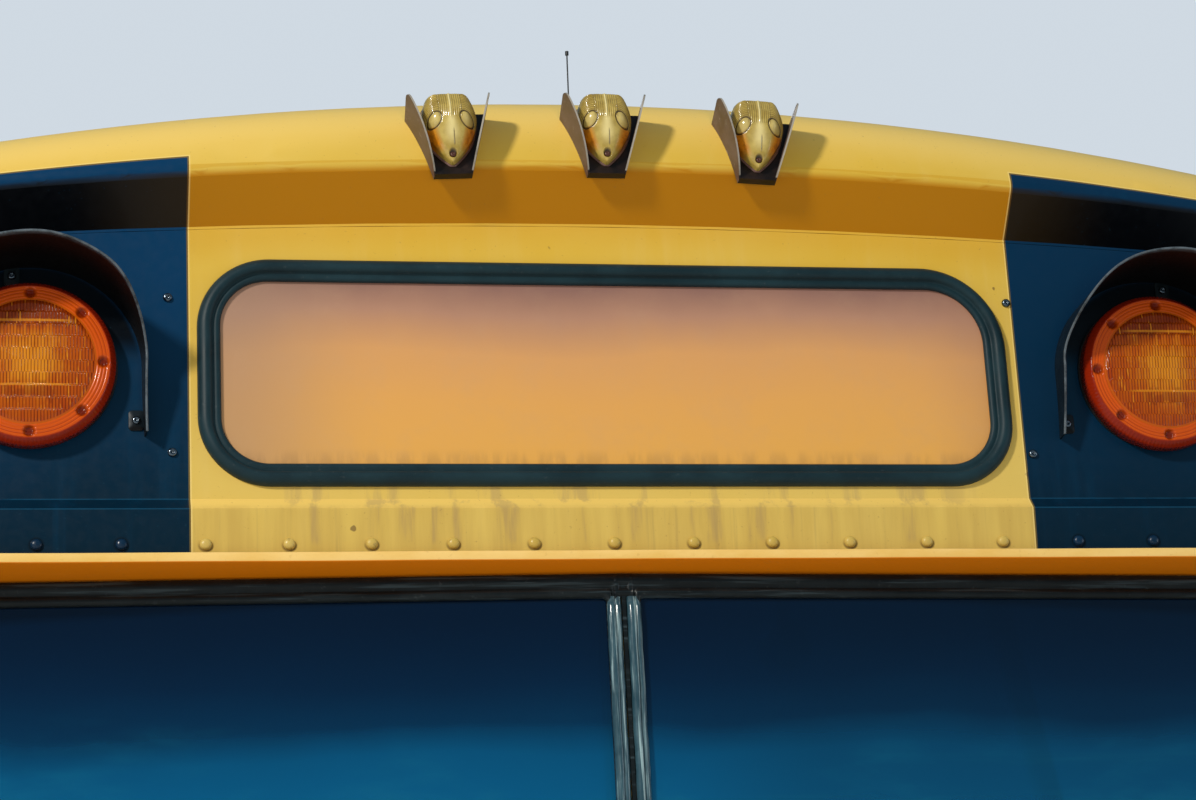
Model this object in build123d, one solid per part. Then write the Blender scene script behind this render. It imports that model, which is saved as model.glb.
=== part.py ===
from build123d import *
from math import asin, atan2, cos, degrees, radians, sin, sqrt, tan
import os

# Upper front end of a school bus: the pressed roof cap with its brow, the header with the sign
# and the warning lamps, the drip rail, and the split windscreen with its pillars and sill.
# Millimetres. X to the bus's left side, Y from the front into the bus, Z up.
# The origin is the middle of the sill's lower face, where the section sits on the cowl.

# Driving dimensions of the shell. Heights called rise or drop are from the rivet row.
RIVET_Z = 1000.0        # rivet row of the header's flange, above the sill seat
HALF_WIDTH = 1215.0     # centre line to the side skin
DEPTH = 520.0           # back edge of the roof cap
SHEET = 4.0             # pressed skin
LEAN = 4.0              # the front leans back at the top, degrees
TOP_RISE = 546.0        # crown of the roof
CROWN_R = 3950.0
SHOULDER_R = 300.0
ROLL_R = 118.0          # roll from the front into the roof and the sides
CORNER_H = 125.0        # corner panels between the pillars and the cap
PILLAR_W = 135.0
PILLAR_BACK = 190.0     # back edge of the pillars at the seam
PILLAR_TURN = 34.0      # edge turned in along the pillar's back

# Brow and header
BROW_Y = -42.0          # upright front of the brow
NOSE_R = 15.0           # rounding where the front meets the recess
FACE_Y = -23.0          # header face at the rivet row
CREASE_RISE = 382.0     # corner between the header face and the brow's underside
CREASE_R = 10200.0
CREASE_CORNER_R = 130.0
MOUTH_REACH = 60.0      # the underside is ruled from the crease to a curve this far ahead
MOUTH_RISE = 450.0
MOUTH_R = 12000.0
FLANGE_Y = -32.0
FLANGE_TOP = 53.0
FLANGE_CREASE = 40.0
FLANGE_DROP = 10.0      # flange's lower edge
FLANGE_SHEET = 3.0
SEAM_STEP = 3.0         # seams lie this far beside a corner of the pressing
PANEL_GAP = 0.5         # width of a seam
SEAT = 0.3              # pieces lie this far from what they sit on
PAST = 20.0             # cutting shapes run this far past what they cut

# Sign
SIGN_RISE = 199.0
SIGN_HALF_H = 130.0
SIGN_CORNER_R = 100.0
SIGN_RING = 30.0        # width of the rubber
SIGN_RING_H = 12.0
SIGN_RING_BEVEL = 6.6
SIGN_LAP = 12.0         # rubber's lap on the panel and on the header
SIGN_PANEL_T = 3.0
SIGN_BOX_DEPTH = 75.0
SIGN_BOX_T = 2.0
SIGN_BOX_RIM = 14.0     # rim turned out behind the header

# Warning lamps
LAMP_RISE = 202.0
LAMP_INSET = 165.0      # red lamp from the end of the header
LAMP_PITCH = 267.0      # amber lamp to red lamp
LAMP_OFFSET = 179.0     # amber lamp from the sign's end
LENS_R = 89.0
LENS_RIM = 23.0         # height of the lens's straight rim
LENS_MID_R = 68.6       # raised middle of the lens
LENS_MID_H = 5.0
LAMP_FLANGE_R = 91.0
LAMP_FLANGE_T = 3.0
LAMP_CAN_R = 84.0
LAMP_CAN_DEPTH = 58.0
LAMP_GAP = 0.5          # all round the can in its hole
PLUG_W = 42.0           # plug on the back of the can
PLUG_H = 26.0
PLUG_DEPTH = 18.0

# Hoods
HOOD_R = 121.0
HOOD_T = 2.0
HOOD_LEG = 80.0         # straight legs below the lamp's centre
HOOD_REACH = 145.0
HOOD_CURVE_Z = 87.0     # the cut-back edge curves through this height above the lamp
HOOD_CURVE_REACH = 68.0
HOOD_BEND_Z = 10.0      # and runs straight from here to the legs' ends
HOOD_BEND_REACH = 30.0
HOOD_TIP_REACH = 3.0
HOOD_TAB_W = 18.0
HOOD_TAB_H = 22.0
HOOD_TAB_Z = 14.0       # tab above the leg's end

# Marker lamps on the brow
MARKER_PITCH = 182.5
MARKER_X0 = -5.5
MARKER_TILT = 18.0      # around the roll, above level
MARKER_FOOT_W = 42.0    # base plate across its lower end
MARKER_SPLAY = 16.5     # guards and plate open upwards, degrees a side
MARKER_BELOW = 41.0     # plate below the lamp's middle
MARKER_ABOVE = 42.0
MARKER_SINK = 12.0      # plate's edges reach round the roll
MARKER_PLATE_T = 2.5
WING_H = 44.0
WING_OVER = 6.0         # guard's tip beyond the plate
WING_TIP_R = 13.0
WING_CURVE_AT = 0.4     # the guard's edge curves through this share of its length
WING_CURVE_H = 0.8      # and this share of its height
WING_T = 2.0
MARKER_LENS_NOSE = -28.0
MARKER_LENS_TOP = 48.0
MARKER_LENS_WIDE = 27.0     # height of the widest place, above the lamp's middle
MARKER_LENS_W = 66.0
MARKER_TOP_W = 53.0
MARKER_NOSE_W = 10.0
MARKER_LENS_H = 34.0
MARKER_TOP_H = 31.0
MARKER_NOSE_H = 9.0
MARKER_SIDE_H = 12.0

# Drip rail
RAIL_Y = -48.0          # front lip
RAIL_LIP_DROP = 7.0     # lip's upper edge
RAIL_LIP = 11.0         # height of the lip
RAIL_FOOT_DROP = 31.0   # where the floor meets the windscreen's frame
RAIL_LEG = 15.0         # leg up the frame
RAIL_T = 2.0

# Windscreen
GLASS_DROP = 60.0       # daylight edge of the glass
GLASS_H = 810.0
GLASS_Y = -14.0         # front of the screen's frame on the centre line at the glass's top
SWEEP = 3.0             # each half sweeps back, degrees
GLASS_MARGIN = 50.0     # daylight end to the pillar
GLASS_T = 6.0
GLASS_FIT = 2.0         # pane short of its rubber's groove all round
GLASS_CORNER_R = 45.0
POST_CORNER_R = 5.0     # panes' corners at the centre post
GASKET_W = 28.0
GASKET_H = 9.0
GASKET_BEVEL = 3.6
GASKET_CORNER_R = 12.0
GASKET_POST_R = 4.0
POST_STRIP = 17.0       # width of each rubber at the centre post
POST_GAP = 2.5          # half of the groove between them
FILLER_H = 5.0          # filler strip in that groove
GASKET_LAP = 10.0
SILL_H = 72.0
SILL_BACK = 150.0       # back of the sill behind the origin
POST_W = 46.0
POST_DEPTH = 34.0
POST_CLEAR = 2.0        # behind the glass
FOOT_T = 8.0
FOOT_HOLE_R = 5.5
FOOT_PITCH_X = 70.0
FOOT_PITCH_Y = 90.0
FOOT_Y = 30.0           # middle of the foot's holes

# Inside of the roof
INNER_Y = 150.0
INNER_T = 3.0
INNER_GAP = 6.0         # to the skin all round
DOOR_W = 900.0
DOOR_H = 220.0
DOOR_RISE = 60.0        # door's lower edge
DOOR_SPACE = 100.0      # panel left between the two openings
DOOR_T = 2.0
DOOR_RIM = 8.0          # depth of the door's folded edges
DOOR_GAP = 1.0
DOOR_LAP = 12.0
HINGE_AT = 0.3          # hinges from the door's middle, as a share of its opening's width
HINGE_R = 5.0
HINGE_PIN_R = 2.0
HINGE_FIT = 0.2
HINGE_LEN = 60.0
HINGE_EAR = 4.0
HINGE_GAP = 1.0
BOW_FRONT_Y = 330.0
BOW_DEPTH = 30.0
BOW_H = 40.0

# Fittings
ANTENNA_Y = 200.0
ANTENNA_H = 121.0       # above the roof
ANTENNA_R = 0.9
ANTENNA_FOOT_R = 15.0
ANTENNA_FOOT_H = 9.0
ANTENNA_TIP_R = 2.2
ANTENNA_TIP_H = 5.0
FITTING_X = 205.0
FITTING_Y = 70.0
FITTING_R = 27.0
FITTING_DEPTH = 40.0
FITTING_DROP = 92.0     # middle of the drum below the shelf
FITTING_STEM = 14.0
FITTING_PLATE_T = 4.0
POLE_R = 16.0
POLE_PLATE_R = 34.0
POLE_PLATE_T = 8.0
POLE_TOP_X = 470.0
POLE_TOP_Y = 120.0
POLE_FOOT_X = 668.0
POLE_FOOT_Y = 112.0

# Places that follow from these
FAR = 2 * HALF_WIDTH    # longer than anything that is cut
TOP_Z = RIVET_Z + TOP_RISE
SEAM_Z = RIVET_Z        # joint between the corner panels and the pillars
CREASE_Z = RIVET_Z + CREASE_RISE
MOUTH_Z = RIVET_Z + MOUTH_RISE
HEADER_HALF = HALF_WIDTH - PILLAR_W     # half width of the front's recess
CORNER_SEAM_Z = SEAM_Z + CORNER_H       # joint between the corner panels and the cap
SIGN_Z = RIVET_Z + SIGN_RISE
LAMP_Z = RIVET_Z + LAMP_RISE
RED_X = HEADER_HALF - LAMP_INSET
AMBER_X = RED_X - LAMP_PITCH
SIGN_HALF_W = AMBER_X - LAMP_OFFSET
RAIL_TOP = RIVET_Z - RAIL_LIP_DROP
RAIL_FOOT = RIVET_Z - RAIL_FOOT_DROP
GLASS_TOP = RIVET_Z - GLASS_DROP
GLASS_END = HEADER_HALF - GLASS_MARGIN
SHELF_Z = RIVET_Z - FLANGE_DROP - INNER_T       # lower face of the shelf over the screen
FOOT_X = HALF_WIDTH - PILLAR_W / 2
DOOR_Z = RIVET_Z + DOOR_RISE
DOOR_X = (DOOR_SPACE + DOOR_W) / 2
BOWS_Y = (BOW_FRONT_Y, DEPTH - BOW_DEPTH)       # front faces of the two roof bows
SLOPE = tan(radians(LEAN))
SWEEP_SLOPE = tan(radians(SWEEP))


def line(a, b):
    return Edge.make_line(Vector(*a), Vector(*b))


def arc(a, b, c):
    return Edge.make_three_point_arc(Vector(*a), Vector(*b), Vector(*c))


def box(x, y, z):
    """Box between two X, two Y and two Z values."""
    size = [abs(b - a) for a, b in (x, y, z)]
    centre = [(a + b) / 2 for a, b in (x, y, z)]
    return Pos(*centre) * Box(*size)


def polygon(points):
    """Face inside a closed run of straight edges."""
    return Face(Wire([line(a, b) for a, b in zip(points, points[1:] + points[:1])]))


def leaning_prism(plan, low, high):
    """Upright prism that leans with the front: plan points at the low end, run up to the high one."""
    lean = Vector(0, SLOPE, 1)
    base = polygon([(x, y, low) for x, y in plan])
    return extrude(base, amount=(high - low) * lean.length, dir=lean)


def face_y(z):
    """Y of the leaning header face at a height."""
    return FACE_Y + (z - RIVET_Z) * SLOPE


def screen_y(x, z):
    """Y of the windscreen frame's swept and leaning front."""
    return GLASS_Y + (z - GLASS_TOP) * SLOPE + abs(x) * SWEEP_SLOPE


def face_plane(x, z):
    """Work plane on the header face: X right, Y up the face, Z outwards."""
    lean = radians(LEAN)
    return Plane((x, face_y(z), z), x_dir=(1, 0, 0), z_dir=(0, -cos(lean), sin(lean)))


def screen_plane(side):
    """Work plane on one half of the screen: X to the bus's left, Y up, Z outwards."""
    across = Vector(1, side * SWEEP_SLOPE, 0)
    up = Vector(0, SLOPE, 1)
    return Plane((0, GLASS_Y, GLASS_TOP), x_dir=tuple(across), z_dir=tuple(across.cross(up)))


# Shell of the roof, the pillars and the header

def hoop_wire(y_of, half, corner_r, top, top_r, bottom):
    """Closed hoop: crown arc, tangent corner arcs, upright sides. y_of gives Y at a height."""
    crown_z = top - top_r
    corner_x = half - corner_r
    corner_z = crown_z + sqrt((top_r - corner_r) ** 2 - corner_x ** 2)
    start = atan2(corner_x, corner_z - crown_z)
    middle = (start + radians(90)) / 2

    def at(x, z):
        return (x, y_of(z), z)

    def on_corner(angle):
        return corner_x + corner_r * sin(angle), corner_z + corner_r * cos(angle)

    tx, tz = on_corner(start)
    mx, mz = on_corner(middle)
    return Wire([
        arc(at(-tx, tz), at(0, top), at(tx, tz)),
        arc(at(tx, tz), at(mx, mz), at(half, corner_z)),
        line(at(half, corner_z), at(half, bottom)),
        line(at(half, bottom), at(-half, bottom)),
        line(at(-half, bottom), at(-half, corner_z)),
        arc(at(-half, corner_z), at(-mx, mz), at(-tx, tz)),
    ])


def roof_outline(y, inset, bottom):
    """Outline of the bus's section, inset from the skin."""
    return Face(hoop_wire(lambda z: y, HALF_WIDTH - inset, SHOULDER_R - inset,
                          TOP_Z - inset, CROWN_R - inset, bottom))


def roof_ring(y0, y1, outside, inside, bottom):
    """Hoop of the roof's outline between two insets and two Y values."""
    outer = extrude(roof_outline(y0, outside, bottom), amount=y1 - y0, dir=(0, 1, 0))
    inner = extrude(roof_outline(y0, inside, bottom - PAST), amount=y1 - y0, dir=(0, 1, 0))
    return outer - inner


def cap_block(inset, back, bottom):
    """Solid inside the cap's skin: the outline run back, its front edge rolled."""
    front, below = BROW_Y + inset, bottom - ROLL_R
    solid = extrude(roof_outline(front, inset, below), amount=back - front, dir=(0, 1, 0))
    rim = solid.faces().sort_by(Axis.Y)[0].edges().sort_by(Axis.Z)[1:]
    solid = fillet(rim, ROLL_R - inset)
    return solid - box((-HALF_WIDTH, HALF_WIDTH), (front - PAST, back + PAST), (below - PAST, bottom))


def header_pocket(grow):
    """Recess of the header: from the crease on the face out past the brow."""
    bottom = SEAM_Z - PAST

    def ring(ahead, top, top_r):
        return hoop_wire(lambda z: face_y(z) + grow - ahead, HEADER_HALF + grow,
                         CREASE_CORNER_R + grow, top + grow, top_r, bottom)

    crease = ring(0, CREASE_Z, CREASE_R)
    mouth = ring(MOUTH_REACH, MOUTH_Z, MOUTH_R)
    ahead = ring(2 * MOUTH_REACH, MOUTH_Z, MOUTH_R)
    return Solid.make_loft([crease, mouth], True) + Solid.make_loft([mouth, ahead], True)


def nose_edges(solid):
    """Edges where the front meets the recess's underside and sides."""
    nose = []
    for edge in solid.edges():
        ends = [edge.position_at(0), edge.position_at(1)]
        ahead = all(end.Y < face_y(end.Z) - NOSE_R / 2 for end in ends)
        if ahead and abs(edge.center().X) < HEADER_HALF + 2 * SHEET and edge.center().Z > SEAM_Z + PANEL_GAP:
            nose.append(edge)
    return nose


def header_outline(inset, bottom):
    """Outline of the header inside its crease, on the leaning face."""
    return Face(hoop_wire(face_y, HEADER_HALF - inset, CREASE_CORNER_R - inset,
                          CREASE_Z - inset, CREASE_R - inset, bottom))


def cap_shell():
    """Skin of the whole roof cap, open behind and below, before its panels are parted."""
    outside = cap_block(0, DEPTH, SEAM_Z) - header_pocket(0)
    inside = cap_block(SHEET, DEPTH + PAST, SEAM_Z - PAST / 2) - header_pocket(SHEET)
    opening = extrude(header_outline(SEAM_STEP, SEAM_Z - PAST), amount=PAST, dir=(0, 1, 0), both=True)
    outside = fillet(nose_edges(outside), NOSE_R)
    return outside - chamfer(nose_edges(inside), NOSE_R / 2) - opening


def cap_panel(skin, side):
    """The cap itself for side 0, or the corner panel under one end of it."""
    across = (-FAR, FAR) if side == 0 else sorted((0, side * FAR))
    up = (CORNER_SEAM_Z + PANEL_GAP, FAR) if side == 0 else (SEAM_Z, CORNER_SEAM_Z)
    return skin & box(across, (-FAR, FAR), up)


def pillar(side):
    """Outer pillar: a rolled channel that leans with the screen, on a closed foot."""
    edge = HEADER_HALF
    inner_y = screen_y(edge, SEAM_Z)
    shift = SEAM_Z * SLOPE

    def section(t, closed):
        """Plan at the foot, inset by a thickness; open at the back unless closed."""
        front, near, out = BROW_Y + t - shift, edge + t, HALF_WIDTH - t
        nose, roll = NOSE_R - t, ROLL_R - t
        back = PILLAR_BACK - shift + (0 if closed else PAST)
        a, b = nose * (1 - sqrt(0.5)), roll * (1 - sqrt(0.5))
        return Face(Wire([
            arc((near, front + nose, 0), (near + a, front + a, 0), (near + nose, front, 0)),
            line((near + nose, front, 0), (out - roll, front, 0)),
            arc((out - roll, front, 0), (out - b, front + b, 0), (out, front + roll, 0)),
            line((out, front + roll, 0), (out, back, 0)),
            line((out, back, 0), (near, back, 0)),
            line((near, back, 0), (near, front + nose, 0)),
        ]))

    lean = Vector(0, SLOPE, 1)
    rise = SEAM_Z - PANEL_GAP
    solid = extrude(section(0, True), amount=rise * lean.length, dir=lean)
    hollow = extrude(section(SHEET, False), amount=(rise + PAST) * lean.length, dir=lean)
    near, wall = edge - SEAT, edge + SHEET + SEAT
    gap = leaning_prism([(near, inner_y - shift), (wall, inner_y - shift),
                         (wall, PILLAR_BACK), (near, PILLAR_BACK)], 0, rise + PAST)
    back = PILLAR_BACK - shift
    turn = leaning_prism([(HALF_WIDTH - PILLAR_TURN, back - SHEET), (HALF_WIDTH - SHEET / 2, back - SHEET),
                          (HALF_WIDTH - SHEET / 2, back), (HALF_WIDTH - PILLAR_TURN, back)], 0, rise)
    foot = solid & box((0, HALF_WIDTH), (-FAR, FAR), (0, FOOT_T))
    post = (solid - hollow - gap) + turn + foot
    for dx in (-0.5, 0.5):
        for dy in (-0.5, 0.5):
            place = Pos(FOOT_X + dx * FOOT_PITCH_X, FOOT_Y + dy * FOOT_PITCH_Y, FOOT_T / 2)
            post = post - place * Cylinder(FOOT_HOLE_R, FOOT_T * 2)
    return post if side > 0 else post.mirror(Plane.YZ)


def header_panel():
    """Leaning lamp and sign panel with the pressed flange along its foot."""
    bottom = RIVET_Z - FLANGE_DROP
    step = SEAM_STEP + PANEL_GAP
    panel = extrude(header_outline(step, bottom), amount=SHEET, dir=(0, 1, 0))
    top, crease = RIVET_Z + FLANGE_TOP, RIVET_Z + FLANGE_CREASE
    behind = FLANGE_Y + FLANGE_SHEET
    section = [(face_y(top) + SHEET / 2, top), (face_y(top), top), (FLANGE_Y, crease), (FLANGE_Y, bottom),
               (behind, bottom), (behind, crease - SHEET / 2), (face_y(crease) + SHEET / 2, crease + SHEET)]
    flange = extrude(polygon([(-HEADER_HALF + step, y, z) for y, z in section]),
                     amount=2 * (HEADER_HALF - step), dir=(1, 0, 0))
    panel = panel + flange
    for x in (-RED_X, -AMBER_X, AMBER_X, RED_X):
        hole = Cylinder(LAMP_CAN_R + LAMP_GAP, 2 * PAST)
        panel = panel - hole.moved(face_plane(x, LAMP_Z).location)
    opening = extrude(sign_outline(SIGN_LAP), amount=PAST, both=True)
    return panel - opening.moved(face_plane(0, SIGN_Z).location)


def windscreen_frame():
    """Pressed surround of both panes: soffit under the header, the swept screen and its apron."""
    end = HEADER_HALF - PANEL_GAP
    top = RIVET_Z - FLANGE_DROP - PANEL_GAP

    def swept(low, ahead, behind):
        """Plan of the swept front at a height, from one offset to another."""
        front = [(-end, screen_y(end, low) + ahead), (0, screen_y(0, low) + ahead),
                 (end, screen_y(end, low) + ahead)]
        back = [(end, screen_y(end, low) + behind), (0, screen_y(0, low) + behind),
                (-end, screen_y(end, low) + behind)]
        return front + back

    frame = leaning_prism(swept(0, 0, SHEET), 0, top)
    low = top - SHEET
    soffit = [(-end, FLANGE_Y), (end, FLANGE_Y)] + swept(low, 0, SHEET / 2)[3:]
    frame = frame + leaning_prism(soffit, low, top)
    for side in (-1, 1):
        hole = extrude(pane_outline(side, GASKET_LAP), amount=PAST, both=True)
        frame = frame - hole.moved(screen_plane(side).location)
    return frame


# Windscreen pieces

def screen_outline(side, start, end, height, near_r, far_r):
    """Rectangle of one half of the screen, with its own corner radius at the post and at the pillar."""
    sketch = Rectangle(end - start, height)
    for towards, radius in ((side, far_r), (-side, near_r)):
        corners = sketch.vertices().sort_by(Axis.X)
        sketch = fillet(corners[-2:] if towards > 0 else corners[:2], radius)
    return Pos(side * (start + end) / 2, -GLASS_H / 2) * sketch


def pane_outline(side, margin):
    """Daylight outline of a pane, grown by a margin, in the half's own plane."""
    return screen_outline(side, POST_GAP + POST_STRIP - margin, GLASS_END + margin, GLASS_H + 2 * margin,
                          POST_CORNER_R + margin, GLASS_CORNER_R + margin)


def windscreen_gasket(side):
    """Rubber strip round one pane, narrower along the centre post."""
    outer = screen_outline(side, POST_GAP, GLASS_END + GASKET_W, GLASS_H + 2 * GASKET_W,
                           GASKET_POST_R, GASKET_CORNER_R)
    ring = extrude(outer - pane_outline(side, 0), amount=GASKET_H)
    ring = chamfer(ring.faces().sort_by(Axis.Z)[-1].edges(), GASKET_BEVEL)
    return Pos(0, 0, SEAT) * ring


def post_strip():
    """Narrow filler between the two rubbers, down the middle of the screen."""
    reach = GASKET_W / sqrt(1 + SLOPE ** 2)
    low, high = GLASS_TOP - GLASS_H - reach, GLASS_TOP + reach
    half = POST_GAP - SEAT
    back = screen_y(0, low) - SEAT
    front = back - FILLER_H
    return leaning_prism([(-half, front), (half, front), (half, back), (-half, back)], low, high)


def windscreen_glass(side):
    """One flat pane, behind its rubber."""
    pane = extrude(pane_outline(side, GASKET_LAP - GLASS_FIT), amount=-GLASS_T)
    return Pos(0, 0, -SEAT) * pane


def windscreen_post():
    """Upright behind the joint between the panes."""
    low, high = SILL_H + SEAT, SHELF_Z - SEAT
    nose = POST_GAP + POST_STRIP - GASKET_LAP - SEAT
    front = screen_y(nose, low) + SHEET + SEAT
    rebate = screen_y(nose, low) + GLASS_T + POST_CLEAR
    half, back = POST_W / 2, front + POST_DEPTH
    plan = [(-nose, front), (nose, front), (nose, rebate), (half, rebate + POST_CLEAR), (half, back),
            (-half, back), (-half, rebate + POST_CLEAR), (-nose, rebate)]
    return leaning_prism(plan, low, high)


def windscreen_sill():
    """Closed box beam along the foot of the screen, under the dash."""
    end = HEADER_HALF - PANEL_GAP
    front = SHEET + SEAT
    plan = [(0, screen_y(0, 0) + front), (end, screen_y(end, 0) + front), (end, SILL_BACK),
            (-end, SILL_BACK), (-end, screen_y(end, 0) + front)]
    beam = leaning_prism(plan, 0, SILL_H)
    return beam - box((-FAR, FAR), (SILL_BACK, FAR), (-SILL_H, 2 * SILL_H))


def drip_rail():
    """Gutter under the header: straight lip in front, its floor ruled back to the swept frame."""
    def section(x):
        foot = screen_y(x, RAIL_FOOT) - SEAT
        leg = screen_y(x, RAIL_FOOT + RAIL_LEG) - SEAT
        lip = RAIL_TOP - RAIL_LIP
        points = [(RAIL_Y, RAIL_TOP), (RAIL_Y, lip), (foot, RAIL_FOOT), (leg, RAIL_FOOT + RAIL_LEG),
                  (leg - RAIL_T, RAIL_FOOT + RAIL_LEG), (foot - RAIL_T, RAIL_FOOT + RAIL_T),
                  (RAIL_Y + RAIL_T, lip + RAIL_T), (RAIL_Y + RAIL_T, RAIL_TOP)]
        corners = [(x, y, z) for y, z in points]
        return Wire([line(a, b) for a, b in zip(corners, corners[1:] + corners[:1])])

    end = HEADER_HALF - PANEL_GAP
    half = Solid.make_loft([section(0), section(end)], True)
    return half + half.mirror(Plane.YZ)


# Sign pieces

def sign_outline(inset):
    return RectangleRounded(2 * (SIGN_HALF_W - inset), 2 * (SIGN_HALF_H - inset), SIGN_CORNER_R - inset)


def sign_gasket():
    """Rubber moulding round the sign, crowned in section."""
    ring = extrude(sign_outline(0) - sign_outline(SIGN_RING), amount=SIGN_RING_H)
    ring = chamfer(ring.faces().sort_by(Axis.Z)[-1].edges(), SIGN_RING_BEVEL)
    return Pos(0, 0, SEAT) * ring


def sign_panel():
    """Blank translucent panel, lit from behind."""
    return Pos(0, 0, -SEAT) * extrude(sign_outline(SIGN_LAP + LAMP_GAP), amount=-SIGN_PANEL_T)


def sign_box():
    """Closed light box behind the sign, its rim seated on the back of the header."""
    case = extrude(sign_outline(SIGN_LAP), amount=-SIGN_BOX_DEPTH)
    rim = extrude(sign_outline(SIGN_LAP - SIGN_BOX_RIM), amount=-SIGN_BOX_T)
    return Pos(0, 0, -SHEET - SEAT) * (case + rim)


# Lamp pieces, turned about the lamp's own axis

def turned(points):
    """Turn a closed section of radius and height about the lamp's axis."""
    return revolve(polygon([(r, 0, z) for r, z in points]), Axis.Z)


def lamp_lens():
    """Moulded lens, sealed to the housing: straight rim, flat ring and raised middle."""
    base = LAMP_FLANGE_T + SEAT
    rim = base + LENS_RIM
    middle = rim + LENS_MID_H
    return turned([(0, base), (LENS_R, base), (LENS_R, rim), (LENS_MID_R, rim), (LENS_MID_R, middle),
                   (0, middle)])


def lamp_housing():
    """Sealed can with a flange round its mouth and a plug behind."""
    back = -LAMP_CAN_DEPTH
    can = turned([(0, LAMP_FLANGE_T), (LAMP_FLANGE_R, LAMP_FLANGE_T), (LAMP_FLANGE_R, SEAT),
                  (LAMP_CAN_R, SEAT), (LAMP_CAN_R, back), (0, back)])
    return can + box((-PLUG_W / 2, PLUG_W / 2), (-PLUG_H / 2, PLUG_H / 2), (back - PLUG_DEPTH, back))


def lamp_hood():
    """Visor over a lamp: rolled over the top, cut back in a curve to two pointed legs."""
    def arch(r, legs):
        return Face(Wire([
            arc((-r, 0, 0), (0, r, 0), (r, 0, 0)),
            line((r, 0, 0), (r, -legs, 0)),
            line((r, -legs, 0), (-r, -legs, 0)),
            line((-r, -legs, 0), (-r, 0, 0)),
        ]))
    out = (0, 0, 1)
    sleeve = extrude(arch(HOOD_R, HOOD_LEG), amount=HOOD_REACH, dir=out)
    sleeve = sleeve - extrude(arch(HOOD_R - HOOD_T, HOOD_LEG + PAST), amount=HOOD_REACH, dir=out)
    low, high, ahead = -HOOD_LEG - PAST, HOOD_R + PAST, HOOD_REACH + PAST
    edge = Face(Wire([
        arc((0, HOOD_R, HOOD_REACH), (0, HOOD_CURVE_Z, HOOD_CURVE_REACH), (0, HOOD_BEND_Z, HOOD_BEND_REACH)),
        line((0, HOOD_BEND_Z, HOOD_BEND_REACH), (0, -HOOD_LEG, HOOD_TIP_REACH)),
        line((0, -HOOD_LEG, HOOD_TIP_REACH), (0, low, HOOD_TIP_REACH)),
        line((0, low, HOOD_TIP_REACH), (0, low, ahead)),
        line((0, low, ahead), (0, high, ahead)),
        line((0, high, ahead), (0, high, HOOD_REACH)),
        line((0, high, HOOD_REACH), (0, HOOD_R, HOOD_REACH)),
    ]))
    visor = sleeve - extrude(edge, amount=HOOD_R + PAST, dir=(1, 0, 0), both=True)
    top_tab = box((-HOOD_TAB_W / 2, HOOD_TAB_W / 2), (HOOD_R - HOOD_TAB_H, HOOD_R - HOOD_T / 2), (0, HOOD_T))
    visor = visor + top_tab
    foot = HOOD_TAB_Z - HOOD_LEG
    for side in (-1, 1):
        visor = visor + box((side * (HOOD_R - HOOD_TAB_W), side * (HOOD_R - HOOD_T / 2)),
                            (foot, foot + HOOD_TAB_H), (0, HOOD_T))
    return Pos(0, 0, SEAT) * visor


# Marker lamps

def marker_plane(x):
    """Work plane on the brow's roll: X along it, Y up the roll, Z outwards."""
    tilt = radians(MARKER_TILT)
    lie = asin(x / CROWN_R)
    ring = CROWN_R - ROLL_R + ROLL_R * sin(tilt)
    return Plane((ring * sin(lie), BROW_Y + ROLL_R * (1 - cos(tilt)), TOP_Z - CROWN_R + ring * cos(lie)),
                 x_dir=(cos(lie), 0, -sin(lie)),
                 z_dir=(sin(tilt) * sin(lie), -cos(tilt), sin(tilt) * cos(lie)))


def marker_bracket():
    """Steel base plate, wider at its top, with an upright leaf-shaped guard along each side."""
    low, high, half = -MARKER_BELOW, MARKER_ABOVE, MARKER_FOOT_W / 2
    run = high - low
    top_half = half + run * tan(radians(MARKER_SPLAY))
    plate = polygon([(-half, low, -MARKER_SINK), (half, low, -MARKER_SINK),
                     (top_half, high, -MARKER_SINK), (-top_half, high, -MARKER_SINK)])
    bracket = extrude(plate, amount=MARKER_SINK + MARKER_PLATE_T, dir=(0, 0, 1))
    along = run / cos(radians(MARKER_SPLAY))
    tip = along + WING_OVER
    turn = WING_TIP_R * (1 - sqrt(0.5))
    leaf = Face(Wire([
        line((0, 0, -MARKER_SINK), (0, along, -MARKER_SINK)),
        line((0, along, -MARKER_SINK), (0, tip, WING_H - WING_TIP_R)),
        arc((0, tip, WING_H - WING_TIP_R), (0, tip - turn, WING_H - turn), (0, tip - WING_TIP_R, WING_H)),
        arc((0, tip - WING_TIP_R, WING_H), (0, along * WING_CURVE_AT, WING_H * WING_CURVE_H), (0, 0, 0)),
        line((0, 0, 0), (0, 0, -MARKER_SINK)),
    ]))
    wing = extrude(leaf, amount=WING_T / 2, dir=(1, 0, 0), both=True)
    for side in (-1, 1):
        bracket = bracket + Pos(side * half, low, 0) * Rot(0, 0, -side * MARKER_SPLAY) * wing
    return bracket - Pos(0, 0, -ROLL_R) * Rot(0, 90, 0) * Cylinder(ROLL_R, 4 * top_half)


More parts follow.
